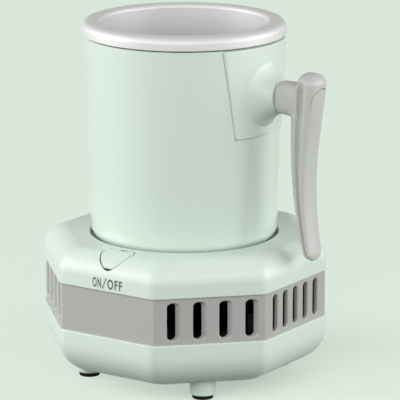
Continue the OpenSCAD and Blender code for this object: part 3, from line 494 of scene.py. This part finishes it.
def surface(name, effect, values, bump, **plain):
    """A material whose colour, roughness and bump come from a node group; plain values go on the shader."""
    skin = bpy.data.materials.new(name)
    skin.use_nodes = True
    tree = skin.node_tree
    group = node(tree, "Group", node_tree=bpy.data.node_groups[effect])
    for label, value in values.items():
        group.inputs[label].default_value = value
    relief = node(tree, "Bump", {"Strength": 1.0, "Distance": bump * MM, "Height": group.outputs["Height"]})
    linked = {"Base Color": group.outputs["Colour"], "Roughness": group.outputs["Roughness"],
              "Normal": relief.outputs["Normal"]}
    plain = {label.replace("_", " "): value for label, value in plain.items()}
    for label, value in {**linked, **plain}.items():
        feed(tree, tree.nodes["Principled BSDF"].inputs[label], value)


def plastic(name, tone, roughness, grain, bump, drift=0.05, **plain):
    """Plastic, rubber and the like, with the scale of its grain and the depth of its bump in millimetres."""
    values = {"Colour": tone, "Drift": drift, "Roughness": roughness, "Grain scale": grain}
    surface(name, "moulded_skin", values, bump, **plain)


def metal(name, tone, roughness, rings, bump, metallic=1.0):
    """Turned metal, with the scale of its rings and the depth of its bump in millimetres."""
    values = {"Colour": tone, "Roughness": roughness, "Rings": rings}
    surface(name, "turned_metal", values, bump, Metallic=metallic)


# Forms that more than one piece follows

def shell_radius(height):
    """Outer radius of the mug's shell at a height."""
    s = bpy.context.scene.cooler_sizes
    foot = -SHELL_LOW.x - s.shell_flare
    low = SHELL_LOW.z + s.shell_edge
    return foot + s.shell_flare * (height - low) / (SHELL_HIGH.z - low)


def handle_height():
    return SHELL_HIGH.z - bpy.context.scene.cooler_sizes.handle_drop


def neck_place():
    return shell_radius(handle_height()) + bpy.context.scene.cooler_sizes.boss_length


def round_handle(x, turn, far):
    """A point at a distance from the handle's axis, in one direction round it."""
    return Vector((x, far * math.cos(turn), handle_height() + far * math.sin(turn)))


def on_shell(turn, far, proud):
    """Such a point laid on the mug's shell, or as far out of it as said."""
    y, z = far * math.cos(turn), handle_height() + far * math.sin(turn)
    return Vector((math.sqrt((shell_radius(z) + proud) ** 2 - y * y), y, z))


def plate_reach(turn, gap=0.0):
    """Distance from the handle's axis to the edge of the bracket's plate, in one direction round the axis."""
    s = bpy.context.scene.cooler_sizes
    top = SHELL_HIGH.z + s.shell_lift - s.plate_margin - handle_height()
    low = s.plate_height - top
    lean = (s.plate_top - s.plate_low) / 2 / s.plate_height
    middle = s.plate_low / 2 + lean * low
    tilt = math.hypot(1, lean)
    y, z = math.cos(turn), math.sin(turn)
    sides = [z / (top + gap), -z / (low + gap)]
    sides += [(side * y - lean * z) / (middle + gap * tilt) for side in (-1, 1)]
    sharp = 70
    return sum(max(part, 0) ** sharp for part in sides) ** (-1 / sharp)


def grip_middle(t):
    """Centre line of the grip from its head, t = 0, to its tip, t = 1: a cubic curve in the XZ plane."""
    s = bpy.context.scene.cooler_sizes
    total = s.grip_rise + s.grip_drop
    lean, high_pull, low_pull = 0.2 * MM, 0.285, 0.53
    points = [(s.grip_reach, s.grip_rise), (s.grip_reach + lean, s.grip_rise - high_pull * total),
              (s.grip_reach - s.grip_bow, s.grip_rise - low_pull * total),
              (s.grip_reach + s.grip_kick, -s.grip_drop)]
    weights = [(1 - t) ** 3, 3 * (1 - t) ** 2 * t, 3 * (1 - t) * t * t, t ** 3]
    return [sum(w * p[axis] for w, p in zip(weights, points)) for axis in (0, 1)]


def grip_half_width(along, web):
    """Half width of the grip's section from its inner face, -1, to its outer face, 1: a body, a rib and a web."""
    body, rib, rib_width = (0.42, 2.2), (-0.66, 4), 0.74

    def lobe(middle, power):
        return math.sqrt(max(1 - (abs(along - middle) / (1 - abs(middle))) ** power, 0))
    return max(lobe(*body), rib_width * lobe(*rib), web * lobe(0, 2.6))


def end_round(gap, radius):
    """Size of the grip's section near an end that is rounded by a radius."""
    blunt = 0.04
    return 1.0 if gap >= radius else max(blunt, math.sqrt(max(1 - (1 - gap / radius) ** 2, 0)))


def ramp(value, low, high):
    """0 up to the low value, 1 from the high value on."""
    return min(max((value - low) / (high - low), 0), 1)


def grip_ring(t, sides=72):
    """The grip's section at a place on its centre line; its back draws in and its groove fades out in the head."""
    s = bpy.context.scene.cooler_sizes
    head_round, tip_round = 5.5 * MM, 4.5 * MM
    back_low, back_high, web_high = 4 * MM, 8 * MM, 10 * MM
    x, z = grip_middle(t)
    size = end_round(s.grip_rise - z, head_round) * end_round(z + s.grip_drop, tip_round)
    depth = (s.head_depth + (s.tip_depth - s.head_depth) * t) / 2 * size
    width = (s.head_width + (s.tip_width - s.head_width) * t) / 2 * size
    back = 1 - 0.5 * ramp(z, back_low, back_high)
    web = 0.5 + 0.5 * ramp(z, back_low, web_high)
    ring = []
    for turn in round_turns(sides):
        along = math.cos(turn)
        side = math.copysign(1, math.sin(turn)) if abs(math.sin(turn)) > 1e-6 else 0
        far = depth * along * (back if along < 0 else 1)
        across = side * width * grip_half_width(along, web)
        ring.append(Vector((neck_place() + x + far, across, handle_height() + z)))
    return ring


def cap_oval(name, gap, seat):
    """A tool with the cap's oval outline, from its seat out through the grip's outer face."""
    s = bpy.context.scene.cooler_sizes
    reach = 20 * MM
    tool = cylinder(name, s.cap_width / 2 + gap, 0, reach, vertices=64)
    stretch(tool, 0, (s.cap_height - s.cap_width) / 2)
    turn_about(tool, "Y", -math.pi / 2)
    low = min(v.co.x for v in tool.data.vertices)
    move(tool, seat - low, 0, handle_height() - s.cap_drop)
    return tool


# Operators: one for each piece or group of like pieces

class FINISHES_OT_make(bpy.types.Operator):
    """Makes the materials"""
    bl_idname = "cooler.finishes"
    bl_label = "Finishes"

    def execute(self, context):
        c = context.scene.cooler_colours
        moulded_skin()
        turned_metal()
        plastic("mint_gloss", c.mint, 0.15, 420, 0.003, drift=0.02, Coat_Weight=0.7, Coat_Roughness=0.05)
        plastic("mint_satin", c.mint, 0.38, 900, 0.006, drift=0.02)
        plastic("grey_satin", c.grey, 0.42, 1500, 0.012)
        plastic("band_satin", c.band_grey, 0.3, 1500, 0.006)
        plastic("black_satin", c.black, 0.5, 1500, 0.015, drift=0.2)
        plastic("pad_rubber", c.rubber, 0.8, 2200, 0.03, drift=0.3, Specular_IOR_Level=0.15)
        plastic("lettering_ink", c.ink, 0.55, 3000, 0.004, drift=0.1)
        plastic("foam_cells", linear(238, 238, 232), 0.9, 1800, 0.08)
        plastic("ceramic", linear(232, 232, 228), 0.45, 900, 0.01)
        plastic("board", linear(24, 92, 48), 0.35, 700, 0.01, drift=0.15)
        plastic("copper_winding", linear(168, 92, 48), 0.35, 2600, 0.06, Metallic=1.0)
        plastic("light_pipe", linear(236, 246, 238), 0.3, 900, 0.005, Transmission_Weight=0.4)
        metal("cup_metal", c.aluminium, 0.55, 2600, 0.006, metallic=0.32)
        metal("plate_metal", c.inner_metal, 0.55, 1800, 0.010, metallic=0.7)
        metal("black_anodised", c.black, 0.42, 900, 0.012)
        metal("screw_metal", c.steel, 0.45, 3000, 0.008)
        metal("bearing_bronze", linear(190, 146, 84), 0.4, 2600, 0.010)
        return {"FINISHED"}


class CUP_OT_make(bpy.types.Operator):
    """Turns the aluminium cup with its rolled rim"""
    bl_idname = "cooler.cup"
    bl_label = "Cup and rim"

    def execute(self, context):
        s = context.scene.cooler_sizes
        roll_wall, roll_depth, lip = 2.8 * MM, 2.4 * MM, 0.5 * MM
        rim, top = CUP_HIGH.x, CUP_HIGH.z - s.rim_drop
        under, wall = CUP_LOW.z, s.cup_radius + s.cup_wall
        floor, rim_low = under + s.cup_floor, top - s.rim_height
        roll_in, roll_high = rim - roll_wall, top - s.rim_inner - roll_depth
        outline = [(0, under), (wall, under), (wall, roll_high), (roll_in, roll_high), (roll_in, rim_low)]
        outline += arc((rim - lip, rim_low + lip), lip, -90, 0, 4)
        outline += arc((rim - s.rim_outer, top - s.rim_outer), s.rim_outer, 0, 90, 14)
        outline += arc((s.cup_radius + s.rim_inner, top - s.rim_inner), s.rim_inner, 90, 180, 14)
        outline += arc((s.cup_radius - s.cup_corner, floor + s.cup_corner), s.cup_corner, 0, -90, 12)
        outline += [(0, floor)]
        cup = lathe("cup", outline, ROUND)
        smooth(cup)
        finish(cup, "mug", "cup_aluminium", "cup_metal", "inner_cup")
        return {"FINISHED"}


class SHELL_OT_make(bpy.types.Operator):
    """Turns the mug's tapered shell and lets the bracket's plate into it"""
    bl_idname = "cooler.shell"
    bl_label = "Mug shell"

    def execute(self, context):
        s = context.scene.cooler_sizes
        rows, sunk, proud, core = 24, 1.0 * MM, 4 * MM, 0.02
        foot = -SHELL_LOW.x - s.shell_flare
        low, top = SHELL_LOW.z, SHELL_HIGH.z + s.shell_lift
        centre = (foot - s.shell_edge, low + s.shell_edge)
        heights = [low + s.shell_edge + (top - low - s.shell_edge) * k / rows for k in range(1, rows + 1)]
        outline = [(s.foot_opening, low)] + arc(centre, s.shell_edge, -90, 0, 16)
        outline += [(shell_radius(h), h) for h in heights]
        outline += [(shell_radius(h) - s.shell_wall, h) for h in reversed(heights)]
        outline += arc(centre, s.shell_edge - s.shell_wall, 0, -90, 8) + [(s.foot_opening, low + s.shell_wall)]
        shell = lathe("shell", outline, ROUND)
        rings = [[on_shell(turn, plate_reach(turn, s.plate_gap) * reach, depth) for turn in round_turns(ROUND)]
                 for depth, reach in ((-sunk, core), (-sunk, 1), (proud, 1), (proud, core))]
        pocket = loft("pocket", rings + rings[:1])
        close_ends(pocket)
        carve(shell, pocket)
        smooth(shell)
        finish(shell, "mug", "mint_plastic", "mint_gloss", "outer_shell")
        return {"FINISHED"}


class BRACKET_OT_make(bpy.types.Operator):
    """Draws the curved plate and pulls the trumpet boss out of it"""
    bl_idname = "cooler.bracket"
    bl_label = "Handle bracket"

    def execute(self, context):
        s = context.scene.cooler_sizes
        turns = round_turns(ROUND)
        neck, flare = neck_place(), s.boss_base - s.boss_neck
        edge, sunk = 0.45 * MM, 0.9 * MM
        steps, first, span = 16, 0.03, 0.95
        sag, inward, back = 0.9 * MM, 0.77, 0.63
        rings = [[round_handle(neck, turn, s.boss_neck * share) for turn in turns] for share in (0.3, 0.96)]
        for k in range(steps + 1):
            share = first + span * k / steps
            hollow = sag * 4 * share * (1 - share)
            far = s.boss_neck + flare * share
            ring = []
            for turn in turns:
                foot = on_shell(turn, far, s.plate_proud).x
                ring.append(round_handle(neck + (foot - neck) * share - back * hollow, turn, far - inward * hollow))
            rings.append(ring)
        inner = s.boss_base
        for share in (0.02, 0.06, 0.15, 0.3, 0.5, 0.75, 0.92):
            rings.append([on_shell(turn, inner + (plate_reach(turn, -edge) - inner) * share, s.plate_proud)
                          for turn in turns])
        for out, up in arc((-1, -1), 1, 90, 0, 4):
            rings.append([on_shell(turn, plate_reach(turn, edge * out), s.plate_proud + edge * up)
                          for turn in turns])
        rings.append([on_shell(turn, plate_reach(turn), -sunk) for turn in turns])
        bracket = loft("bracket", rings)
        close_ends(bracket)
        smooth(bracket, 50)
        finish(bracket, "mug", "mint_plastic", "mint_satin", "handle_bracket")
        return {"FINISHED"}


class HANDLE_OT_make(bpy.types.Operator):
    """Sweeps the grip, blends the stem into it and lets in the oval cap"""
    bl_idname = "cooler.handle"
    bl_label = "Handle and cap"

    def execute(self, context):
        s = context.scene.cooler_sizes
        rows, voxel, cap_band = 72, 0.45 * MM, 2 * MM
        cap_lift, pocket_gap = 0.05 * MM, 0.36 * MM
        grip = loft("handle", [grip_ring(0.5 - 0.5 * math.cos(math.pi * k / rows)) for k in range(rows + 1)])
        close_ends(grip)
        handle = join(self.stem(s), grip)
        modify(handle, "REMESH", mode="VOXEL", voxel_size=voxel)
        modify(handle, "SMOOTH", factor=0.5, iterations=4)
        head = [v.co.x for v in handle.data.vertices if abs(v.co.z - handle_height()) < cap_band]
        seat = max(head) - s.cap_thickness
        cap = copied(handle, "handle_cap")
        carve(cap, cap_oval("cap_tool", 0, seat + cap_lift), "INTERSECT")
        carve(handle, cap_oval("cap_pocket", pocket_gap, seat))
        for piece, node_name in ((handle, "handle"), (cap, "handle_cap")):
            smooth(piece, 40)
            finish(piece, "mug", "grey_plastic", "grey_satin", node_name)
        return {"FINISHED"}

    def stem(self, s):
        """The stem with flat cheeks from the boss into the grip; it spreads downwards where it meets the grip."""
        edge, sink, spread, spread_power = 1.2 * MM, 3.3 * MM, 3.0 * MM, 2.2
        steps, sides, square = 20, 64, 2 / 3
        start_share, cheek, cheek_taper = 0.4, 0.92, 0.21
        reach = s.grip_reach - sink
        rows = [(0, start_share * s.stem_radius, 0)]
        rows += [(edge - height, s.stem_radius - edge + out, 0)
                 for out, height in arc((0, 0), edge, 90, 0, 10)]
        for k in range(1, steps + 1):
            share = k / steps
            rows.append((edge + (reach - edge) * share, s.stem_radius, spread * share ** spread_power))
        rings = []
        for place, radius, extra in rows:
            ring = []
            for turn in round_turns(sides):
                y, z = [math.copysign(abs(part) ** square, part) for part in (math.cos(turn), math.sin(turn))]
                ring.append(Vector((neck_place() + place, (cheek - cheek_taper * place / reach) * radius * y,
                                    handle_height() + (radius + (extra if z < 0 else 0)) * z)))
            rings.append(ring)
        stem = loft("stem", rings)
        close_ends(stem)
        return stem


class COVER_OT_make(bpy.types.Operator):
    """Shapes the eight-sided cover with the mug's well, and the push button in its front edge"""
    bl_idname = "cooler.cover"
    bl_label = "Cover and button"

    def execute(self, context):
        s = context.scene.cooler_sizes
        button_edge, hole_depth, sides = 0.15 * MM, 9 * MM, 128
        plate_lap, shelf = 4.4 * MM, 1.2 * MM
        half, top, low = COVER_HIGH.x, COVER_HIGH.z, BAND_HIGH.z
        place, past = (0, -(half - s.button_inset)), top + MM
        cover = housing_block("cover", half, low, top, s.cover_edge, True)
        button = eight_sided("button", half, low, top)
        bevel(button, s.cover_edge, 24, lambda e: level(e, top))
        tool = cylinder("button_tool", s.button_radius, top - s.button_depth, past, place, sides)
        carve(button, tool, "INTERSECT")
        bevel(button, button_edge, 2, lambda e: e.calc_face_angle(0) > 0.5)
        thicken(cover, s.housing_wall)
        soften_lip(cover, low)
        rim, outside, floor = s.well_radius + s.well_chamfer, s.well_radius + s.housing_wall, top - s.well_depth
        carve(cover, cylinder("well_tool", rim, low, past, vertices=ROUND))
        carve(cover, cylinder("button_hole", s.button_radius + s.button_gap, top - hole_depth, past, place, sides))
        hole, under = COLD_HIGH.x - plate_lap, floor - s.housing_wall
        outline = [(hole, under), (outside, under), (outside, top - shelf), (rim, top - shelf), (rim, top),
                   (s.well_radius, top - s.well_chamfer), (s.well_radius, floor), (hole, floor)]
        cover = join(lathe("well", outline, ROUND), cover)
        smooth(cover)
        smooth(button)
        finish(cover, "base", "mint_plastic", "mint_satin", "top_cover")
        finish(button, "button", "mint_plastic", "mint_satin", "button_cap")
        return {"FINISHED"}


class BAND_OT_make(bpy.types.Operator):
    """Folds the vented band and cuts its upright slots along the X axis"""
    bl_idname = "cooler.vent_band"
    bl_label = "Vented band"

    def execute(self, context):
        s = context.scene.cooler_sizes
        fold, inlet_lap, inlet_depth, sharp = 0.5 * MM, 1.4 * MM, 10 * MM, 0.4
        half, low, high = BAND_HIGH.x, BAND_LOW.z, BAND_HIGH.z
        band = eight_sided("vent_band_piece", half, low, high, fill="NOTHING")
        bevel(band, fold, 3, on_corner)
        thicken(band, s.band_wall)
        rows = [k * s.slot_pitch for k in range(-2, 3)]
        rows += [side * (s.corner_slot + k * s.slot_pitch) for side in (-1, 1) for k in range(4)]
        tools = []
        for row in rows:
            bpy.ops.mesh.primitive_cylinder_add(vertices=32, radius=s.slot_width / 2, depth=3 * half,
                                                rotation=(0, math.pi / 2, 0))
            tools.append(added("slot_tool"))
            stretch(tools[-1], 2, (s.slot_height - s.slot_width) / 2)
            move(tools[-1], 0, row, (low + high) / 2)
        carve(band, join(*tools))
        bpy.ops.mesh.primitive_cylinder_add(vertices=48, radius=JACK_HIGH.x - inlet_lap, depth=inlet_depth,
                                            location=(0, half, (JACK_LOW.z + JACK_HIGH.z) / 2),
                                            rotation=(math.pi / 2, 0, 0))
        carve(band, added("inlet_tool"))
        sides = [(math.cos(k * 2 * CORNER), math.sin(k * 2 * CORNER)) for k in range(8)]

        def slot_rim(edge):
            inside = all(low + MM < v.co.z < high - MM for v in edge.verts)
            flats = [max(v.co.x * x + v.co.y * y for x, y in sides) for v in edge.verts]
            return inside and min(flats) > half - TINY and edge.calc_face_angle(0) > sharp

        bevel(band, s.slot_bevel, 4, slot_rim, "WIDTH")
        smooth(band)
        finish(band, "base", "grey_plastic", "band_satin", "vent_band")
        return {"FINISHED"}


class TRAY_OT_make(bpy.types.Operator):
    """Shapes the lower tray with its air slots, screw holes and the stubs of its feet"""
    bl_idname = "cooler.tray"
    bl_label = "Tray"

    def execute(self, context):
        s = context.scene.cooler_sizes
        rib, cut_height, pad_height, stub_edge = 2 * MM, 10 * MM, 2 * MM, 0.6 * MM
        screw_head, screw_hole, head_depth = 2.8 * MM, 3 * MM, 2 * MM
        half, high = COVER_HIGH.x, BAND_LOW.z
        tray = housing_block("tray", half, s.tray_under, high, s.tray_edge, False)
        thicken(tray, s.housing_wall)
        soften_lip(tray, high)
        rows = math.floor((s.intake_radius - s.intake_width) / s.intake_pitch)
        tools = []
        for k in range(-rows, rows + 1):
            row = k * s.intake_pitch
            reach = math.sqrt(s.intake_radius ** 2 - (abs(row) + s.intake_width / 2) ** 2)
            for side in (-1, 1):
                bpy.ops.mesh.primitive_cube_add(size=1, location=(side * (reach + rib) / 2, row, s.tray_under),
                                                scale=(reach - rib, s.intake_width, cut_height))
                tools.append(added("air_tool"))
        screws_low, screws_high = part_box("tray_screws")
        for x in (-1, 1):
            for y in (-1, 1):
                hole = (x * (screws_high.x - screw_head), y * (screws_high.y - screw_head))
                tools.append(cylinder("screw_tool", screw_hole, 0, screws_low.z + head_depth, hole, 40))
        carve(tray, join(*tools))
        stubs = []
        for k in range(1, 5):
            pad_low, pad_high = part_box(f"foot_pad_{k}")
            middle, base, top = (pad_low + pad_high) / 2, pad_low.z + pad_height, s.tray_under + MM
            outline = [(0, base)] + arc((s.stub_radius - stub_edge, base + stub_edge), stub_edge, -90, 0, 4)
            outline += [(s.stub_radius, top), (0, top)]
            stubs.append(lathe("stub", outline, 64))
            move(stubs[-1], middle.x, middle.y, 0)
        tray = join(*stubs, tray)
        smooth(tray)
        finish(tray, "base", "mint_plastic", "mint_satin", "base_tray")
        return {"FINISHED"}


class FEET_OT_make(bpy.types.Operator):
    """Turns the four rubber pads"""
    bl_idname = "cooler.feet"
    bl_label = "Rubber pads"

    def execute(self, context):
        edge, dish, pad_height, peg = 0.3 * MM, 0.25 * MM, 2 * MM, 3 * MM
        dish_edge, ring_edge = 2.2 * MM, 1.6 * MM
        for k in range(1, 5):
            low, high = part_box(f"foot_pad_{k}")
            middle, radius, seat = (low + high) / 2, (high.x - low.x) / 2, low.z + pad_height
            outline = [(0, low.z + dish), (radius - dish_edge, low.z + dish), (radius - ring_edge, low.z)]
            outline += arc((radius - edge, low.z + edge), edge, -90, 0, 4) + [(radius, seat), (peg, seat)]
            outline += [(peg, high.z), (0, high.z)]
            pad = lathe(f"pad_{k}", outline, 64)
            move(pad, middle.x, middle.y, 0)
            smooth(pad)
            finish(pad, "base", "foot_rubber", "pad_rubber", f"foot_pad_{k}")
        return {"FINISHED"}


class INLET_OT_make(bpy.types.Operator):
    """Turns the power inlet in the back panel, with its centre pin"""
    bl_idname = "cooler.inlet"
    bl_label = "Power inlet"

    def execute(self, context):
        bore, pin, pin_point, point_height = 2.85 * MM, 1.0 * MM, 0.6, 0.5 * MM
        lip, edge, tip, back_wall, thread_step = 1.0 * MM, 0.3 * MM, 1.0 * MM, 2 * MM, 1.6 * MM
        middle = (JACK_LOW + JACK_HIGH) / 2
        flange, depth = (JACK_HIGH.x - JACK_LOW.x) / 2, JACK_HIGH.y - JACK_LOW.y
        thread, floor = flange - thread_step, depth - back_wall
        outline = [(0, tip), (pin * pin_point, tip), (pin, tip + point_height), (pin, floor)]
        outline += [(bore, floor), (bore, edge), (bore + edge, 0)]
        outline += arc((flange - edge, edge), edge, -90, 0, 4) + [(flange, lip), (thread, lip)]
        outline += [(thread, depth), (0, depth)]
        inlet = lathe("inlet", outline, 96)
        turn_about(inlet, "X", math.pi / 2)
        if max(v.co.y for v in inlet.data.vertices) > MM:
            turn_about(inlet, "X", math.pi)
        move(inlet, middle.x, JACK_HIGH.y, middle.z)
        smooth(inlet)
        finish(inlet, "base", "black_plastic", "black_satin", "dc_jack")
        return {"FINISHED"}


class LETTERING_OT_make(bpy.types.Operator):
    """Prints the words under the push button on the cover's front"""
    bl_idname = "cooler.lettering"
    bl_label = "Lettering"

    def execute(self, context):
        left, width, low, height = -7.8 * MM, 17 * MM, 55.5 * MM, 4.9 * MM
        # Each word's start and end along the line, how far it reaches past the line, and its weight
        words = (("ON", 0, 0.29, 0, 0.03), ("/", 0.31, 0.48, 0.06, -0.01), ("OFF", 0.5, 1, 0, 0.03))
        parts = [self.word(body, left + start * width, (end - start) * width, low - drop * height,
                           (1 + 2 * drop) * height, bold) for body, start, end, drop, bold in words]
        line = join(*parts)
        line.name = line.data.name = "lettering"
        finish(line, "base", "black_plastic", "lettering_ink")
        return {"FINISHED"}

    def word(self, body, left, width, low, height, bold):
        """Letters that fill a box on the cover's front flat."""
        ink, spacing = 0.02 * MM, 1.22
        pick()
        bpy.ops.object.text_add()
        letters = bpy.context.object
        letters.data.body = body
        letters.data.extrude = 1.0
        letters.data.offset = bold
        letters.data.space_character = spacing
        bpy.ops.object.convert(target="MESH")
        letters = added("letters")
        corners = [v.co.copy() for v in letters.data.vertices]
        small, large = [Vector([end(c[axis] for c in corners) for axis in range(3)]) for end in (min, max)]
        span = large - small
        edit(letters)
        bpy.ops.transform.translate(value=-small)
        bpy.ops.transform.resize(value=(width / span.x, height / span.y, 2 * ink / span.z),
                                 center_override=(0, 0, 0))
        leave()
        letters.rotation_euler = (math.pi / 2, 0, 0)
        letters.location = (left, -COVER_HIGH.x + ink, low)
        return added("letters")


class INNER_OT_dress(bpy.types.Operator):
    """Gives the inner nodes their finishes"""
    bl_idname = "cooler.inner"
    bl_label = "Inner pieces"

    def execute(self, context):
        dress = {
            "plate_metal": ["cold_plate", "thermal_foot"],
            "black_anodised": ["heat_sink"],
            "black_satin": ["fan_frame", "fan_rotor", "module_frame", "switch_body", "switch_plunger"],
            "pad_rubber": ["rim_gasket", "foot_seal", "plate_gasket"],
            "foam_cells": ["insulation_sleeve"],
            "ceramic": ["peltier_module"],
            "board": ["control_board"],
            "copper_winding": ["fan_stator"],
            "bearing_bronze": ["fan_bearing"],
            "light_pipe": ["indicator_lens", "indicator_led"],
            "screw_metal": ["thermal_foot_screws", "bracket_screws", "handle_screw", "clamp_screws", "fan_screws",
                            "board_screws", "tray_screws", "jack_nut"],
        }
        for skin, names in dress.items():
            for name in names:
                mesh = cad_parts[name].data
                mesh.materials.clear()
                mesh.materials.append(bpy.data.materials[skin])
        return {"FINISHED"}


class STAGE_OT_make(bpy.types.Operator):
    """Sets up the floor, the backdrop's light, the soft lamps and the camera"""
    bl_idname = "cooler.stage"
    bl_label = "Stage"

    azimuth: bpy.props.FloatProperty(name="Azimuth", description="Camera's turn from the front", default=34.34)
    elevation: bpy.props.FloatProperty(name="Elevation", description="Camera's height in degrees", default=13.8)
    distance: bpy.props.FloatProperty(name="Distance", description="Camera to target", default=1.5, unit="LENGTH")
    lens: bpy.props.FloatProperty(name="Lens", description="Focal length in millimetres", default=279.5)

    def execute(self, context):
        scene = context.scene
        scene.view_settings.view_transform = "Standard"
        backdrop = scene.cooler_colours.backdrop
        target = Vector((0, 0, 87 * MM))
        self.camera(scene, target)
        self.floor(backdrop)
        self.world(scene, backdrop)
        # Turn from the camera and elevation in degrees, distance and size in metres, power in watts
        for name, side, height, far, size, power in (
                ("left_softbox", -90, 16, 1.3, (1.1, 0.8), 16.5),
                ("right_softbox", 82, 15, 1.3, (1.3, 0.8), 15),
                ("front_softbox", -8, 27, 1.3, (1.9, 0.9), 14.4)):
            place = target + self.towards(side, height) * far
            self.softbox(scene, name, place, target, size, power)
        return {"FINISHED"}

    def towards(self, side, height):
        """Direction from the target, by a turn from the camera and an elevation in degrees."""
        turn, lift = math.radians(self.azimuth) + math.radians(side), math.radians(height)
        return Vector((math.sin(turn) * math.cos(lift), -math.cos(turn) * math.cos(lift), math.sin(lift)))

    def camera(self, scene, target):
        """Aims the camera so that the target comes to its place in the picture."""
        sensor, picture, far = 36, 400, 20
        middle, seen = Vector((200, 200)), Vector((184.22, 196.2))
        back = self.towards(0, self.elevation)
        turn = math.radians(self.azimuth)
        right = Vector((math.cos(turn), math.sin(turn), 0))
        pixel = self.distance / (self.lens / sensor * picture)
        aim = target + right * pixel * (middle.x - seen.x) + back.cross(right) * pixel * (seen.y - middle.y)
        eye = bpy.data.cameras.new("camera")
        eye.lens = self.lens
        eye.sensor_width = sensor
        eye.clip_end = far
        scene.camera = self.placed(scene, "camera", eye, target + back * self.distance, aim)

    def softbox(self, scene, name, place, target, size, power):
        light = bpy.data.lights.new(name, "AREA")
        light.shape = "RECTANGLE"
        light.size, light.size_y = size
        light.energy = power
        self.placed(scene, name, light, place, target)

    def placed(self, scene, name, data, place, aim):
        """Adds a camera or a lamp that looks from its place at its aim."""
        thing = bpy.data.objects.new(name, data)
        thing.location = place
        thing.rotation_euler = (aim - place).to_track_quat("-Z", "Y").to_euler()
        scene.collection.objects.link(thing)
        return thing

    def floor(self, tone):
        """Pale paper: it takes the part's shadow near the part, and shines evenly further off."""
        shadow_middle, near, far = (0.063, 0.067, 0), 0.06, 0.19
        strong, weak, usual, bounce = 0.65, 0.05, 0.75, 0.17
        bpy.ops.mesh.primitive_grid_add(x_subdivisions=8, y_subdivisions=8, size=12)
        floor = added("floor")
        skin = bpy.data.materials.new("floor_paper")
        skin.use_nodes = True
        tree = skin.node_tree
        tree.nodes.clear()
        place = node(tree, "TexCoord").outputs["Object"]
        away = node(tree, "VectorMath", {0: place, 1: shadow_middle}, operation="DISTANCE").outputs["Value"]
        share = node(tree, "MapRange", {"Value": away, "From Min": near, "From Max": far, "To Min": strong,
                                        "To Max": weak}, interpolation_type="SMOOTHSTEP").outputs["Result"]
        paper = node(tree, "VectorMath", {0: tone[:3], "Scale": share}, operation="SCALE").outputs["Vector"]
        shine = reckon(tree, "SUBTRACT", 1.0, reckon(tree, "MULTIPLY", share, usual))
        lit = node(tree, "BsdfDiffuse", {"Color": paper})
        glow = node(tree, "Emission", {"Color": tone, "Strength": shine})
        both = node(tree, "AddShader", {0: lit.outputs[0], 1: glow.outputs[0]})
        dim = node(tree, "BsdfDiffuse", {"Color": [bounce * part for part in tone[:3]] + [1]})
        seen = self.rays(tree, "Is Camera Ray", "Is Glossy Ray")
        pale = node(tree, "MixShader", {0: seen, 1: dim.outputs[0], 2: both.outputs[0]})
        node(tree, "OutputMaterial", {"Surface": pale.outputs[0]})
        floor.data.materials.append(skin)

    def world(self, scene, tone):
        """The backdrop as the camera sees it, a white room in reflections and a dim one for light."""
        white, room_strength, mirror_strength = (1, 1, 1, 1), 0.16, 0.6
        scene.world = bpy.data.worlds.new("studio")
        scene.world.use_nodes = True
        tree = scene.world.node_tree
        tree.nodes.clear()
        seen = node(tree, "Background", {"Color": tone})
        room = node(tree, "Background", {"Color": white, "Strength": room_strength})
        mirrored = node(tree, "Background", {"Color": white, "Strength": mirror_strength})
        glossy = node(tree, "LightPath").outputs["Is Glossy Ray"]
        shaded = node(tree, "MixShader", {0: glossy, 1: room.outputs[0], 2: mirrored.outputs[0]})
        direct = self.rays(tree, "Is Camera Ray", "Is Transmission Ray")
        blend = node(tree, "MixShader", {0: direct, 1: shaded.outputs[0], 2: seen.outputs[0]})
        node(tree, "OutputWorld", {"Surface": blend.outputs[0]})

    def rays(self, tree, *kinds):
        """1 for either kind of ray."""
        outputs = node(tree, "LightPath").outputs
        return reckon(tree, "MAXIMUM", *[outputs[kind] for kind in kinds])


class COOLER_PT_panel(bpy.types.Panel):
    """Lists the operators and the values that they read"""
    bl_label = "Drink cooler"
    bl_space_type = "VIEW_3D"
    bl_region_type = "UI"
    bl_category = "Cooler"

    def draw(self, context):
        for operator in OPERATORS:
            self.layout.operator(operator.bl_idname)
        for group in (context.scene.cooler_colours, context.scene.cooler_sizes):
            for name in group.__annotations__:
                self.layout.prop(group, name)


OPERATORS = (STAGE_OT_make, FINISHES_OT_make, CUP_OT_make, SHELL_OT_make, BRACKET_OT_make, HANDLE_OT_make,
             COVER_OT_make, BAND_OT_make, TRAY_OT_make, FEET_OT_make, INLET_OT_make, LETTERING_OT_make,
             INNER_OT_dress)
CLASSES = (CoolerSizes, CoolerColours) + OPERATORS + (COOLER_PT_panel,)


def register():
    for cls in CLASSES:
        bpy.utils.register_class(cls)
    bpy.types.Scene.cooler_sizes = bpy.props.PointerProperty(type=CoolerSizes)
    bpy.types.Scene.cooler_colours = bpy.props.PointerProperty(type=CoolerColours)


def unregister():
    del bpy.types.Scene.cooler_colours
    del bpy.types.Scene.cooler_sizes
    for cls in reversed(CLASSES):
        bpy.utils.unregister_class(cls)


def main():
    register()
    for operator in OPERATORS:
        family, name = operator.bl_idname.split(".")
        getattr(getattr(bpy.ops, family), name)()


if __name__ == "__main__":
    main()
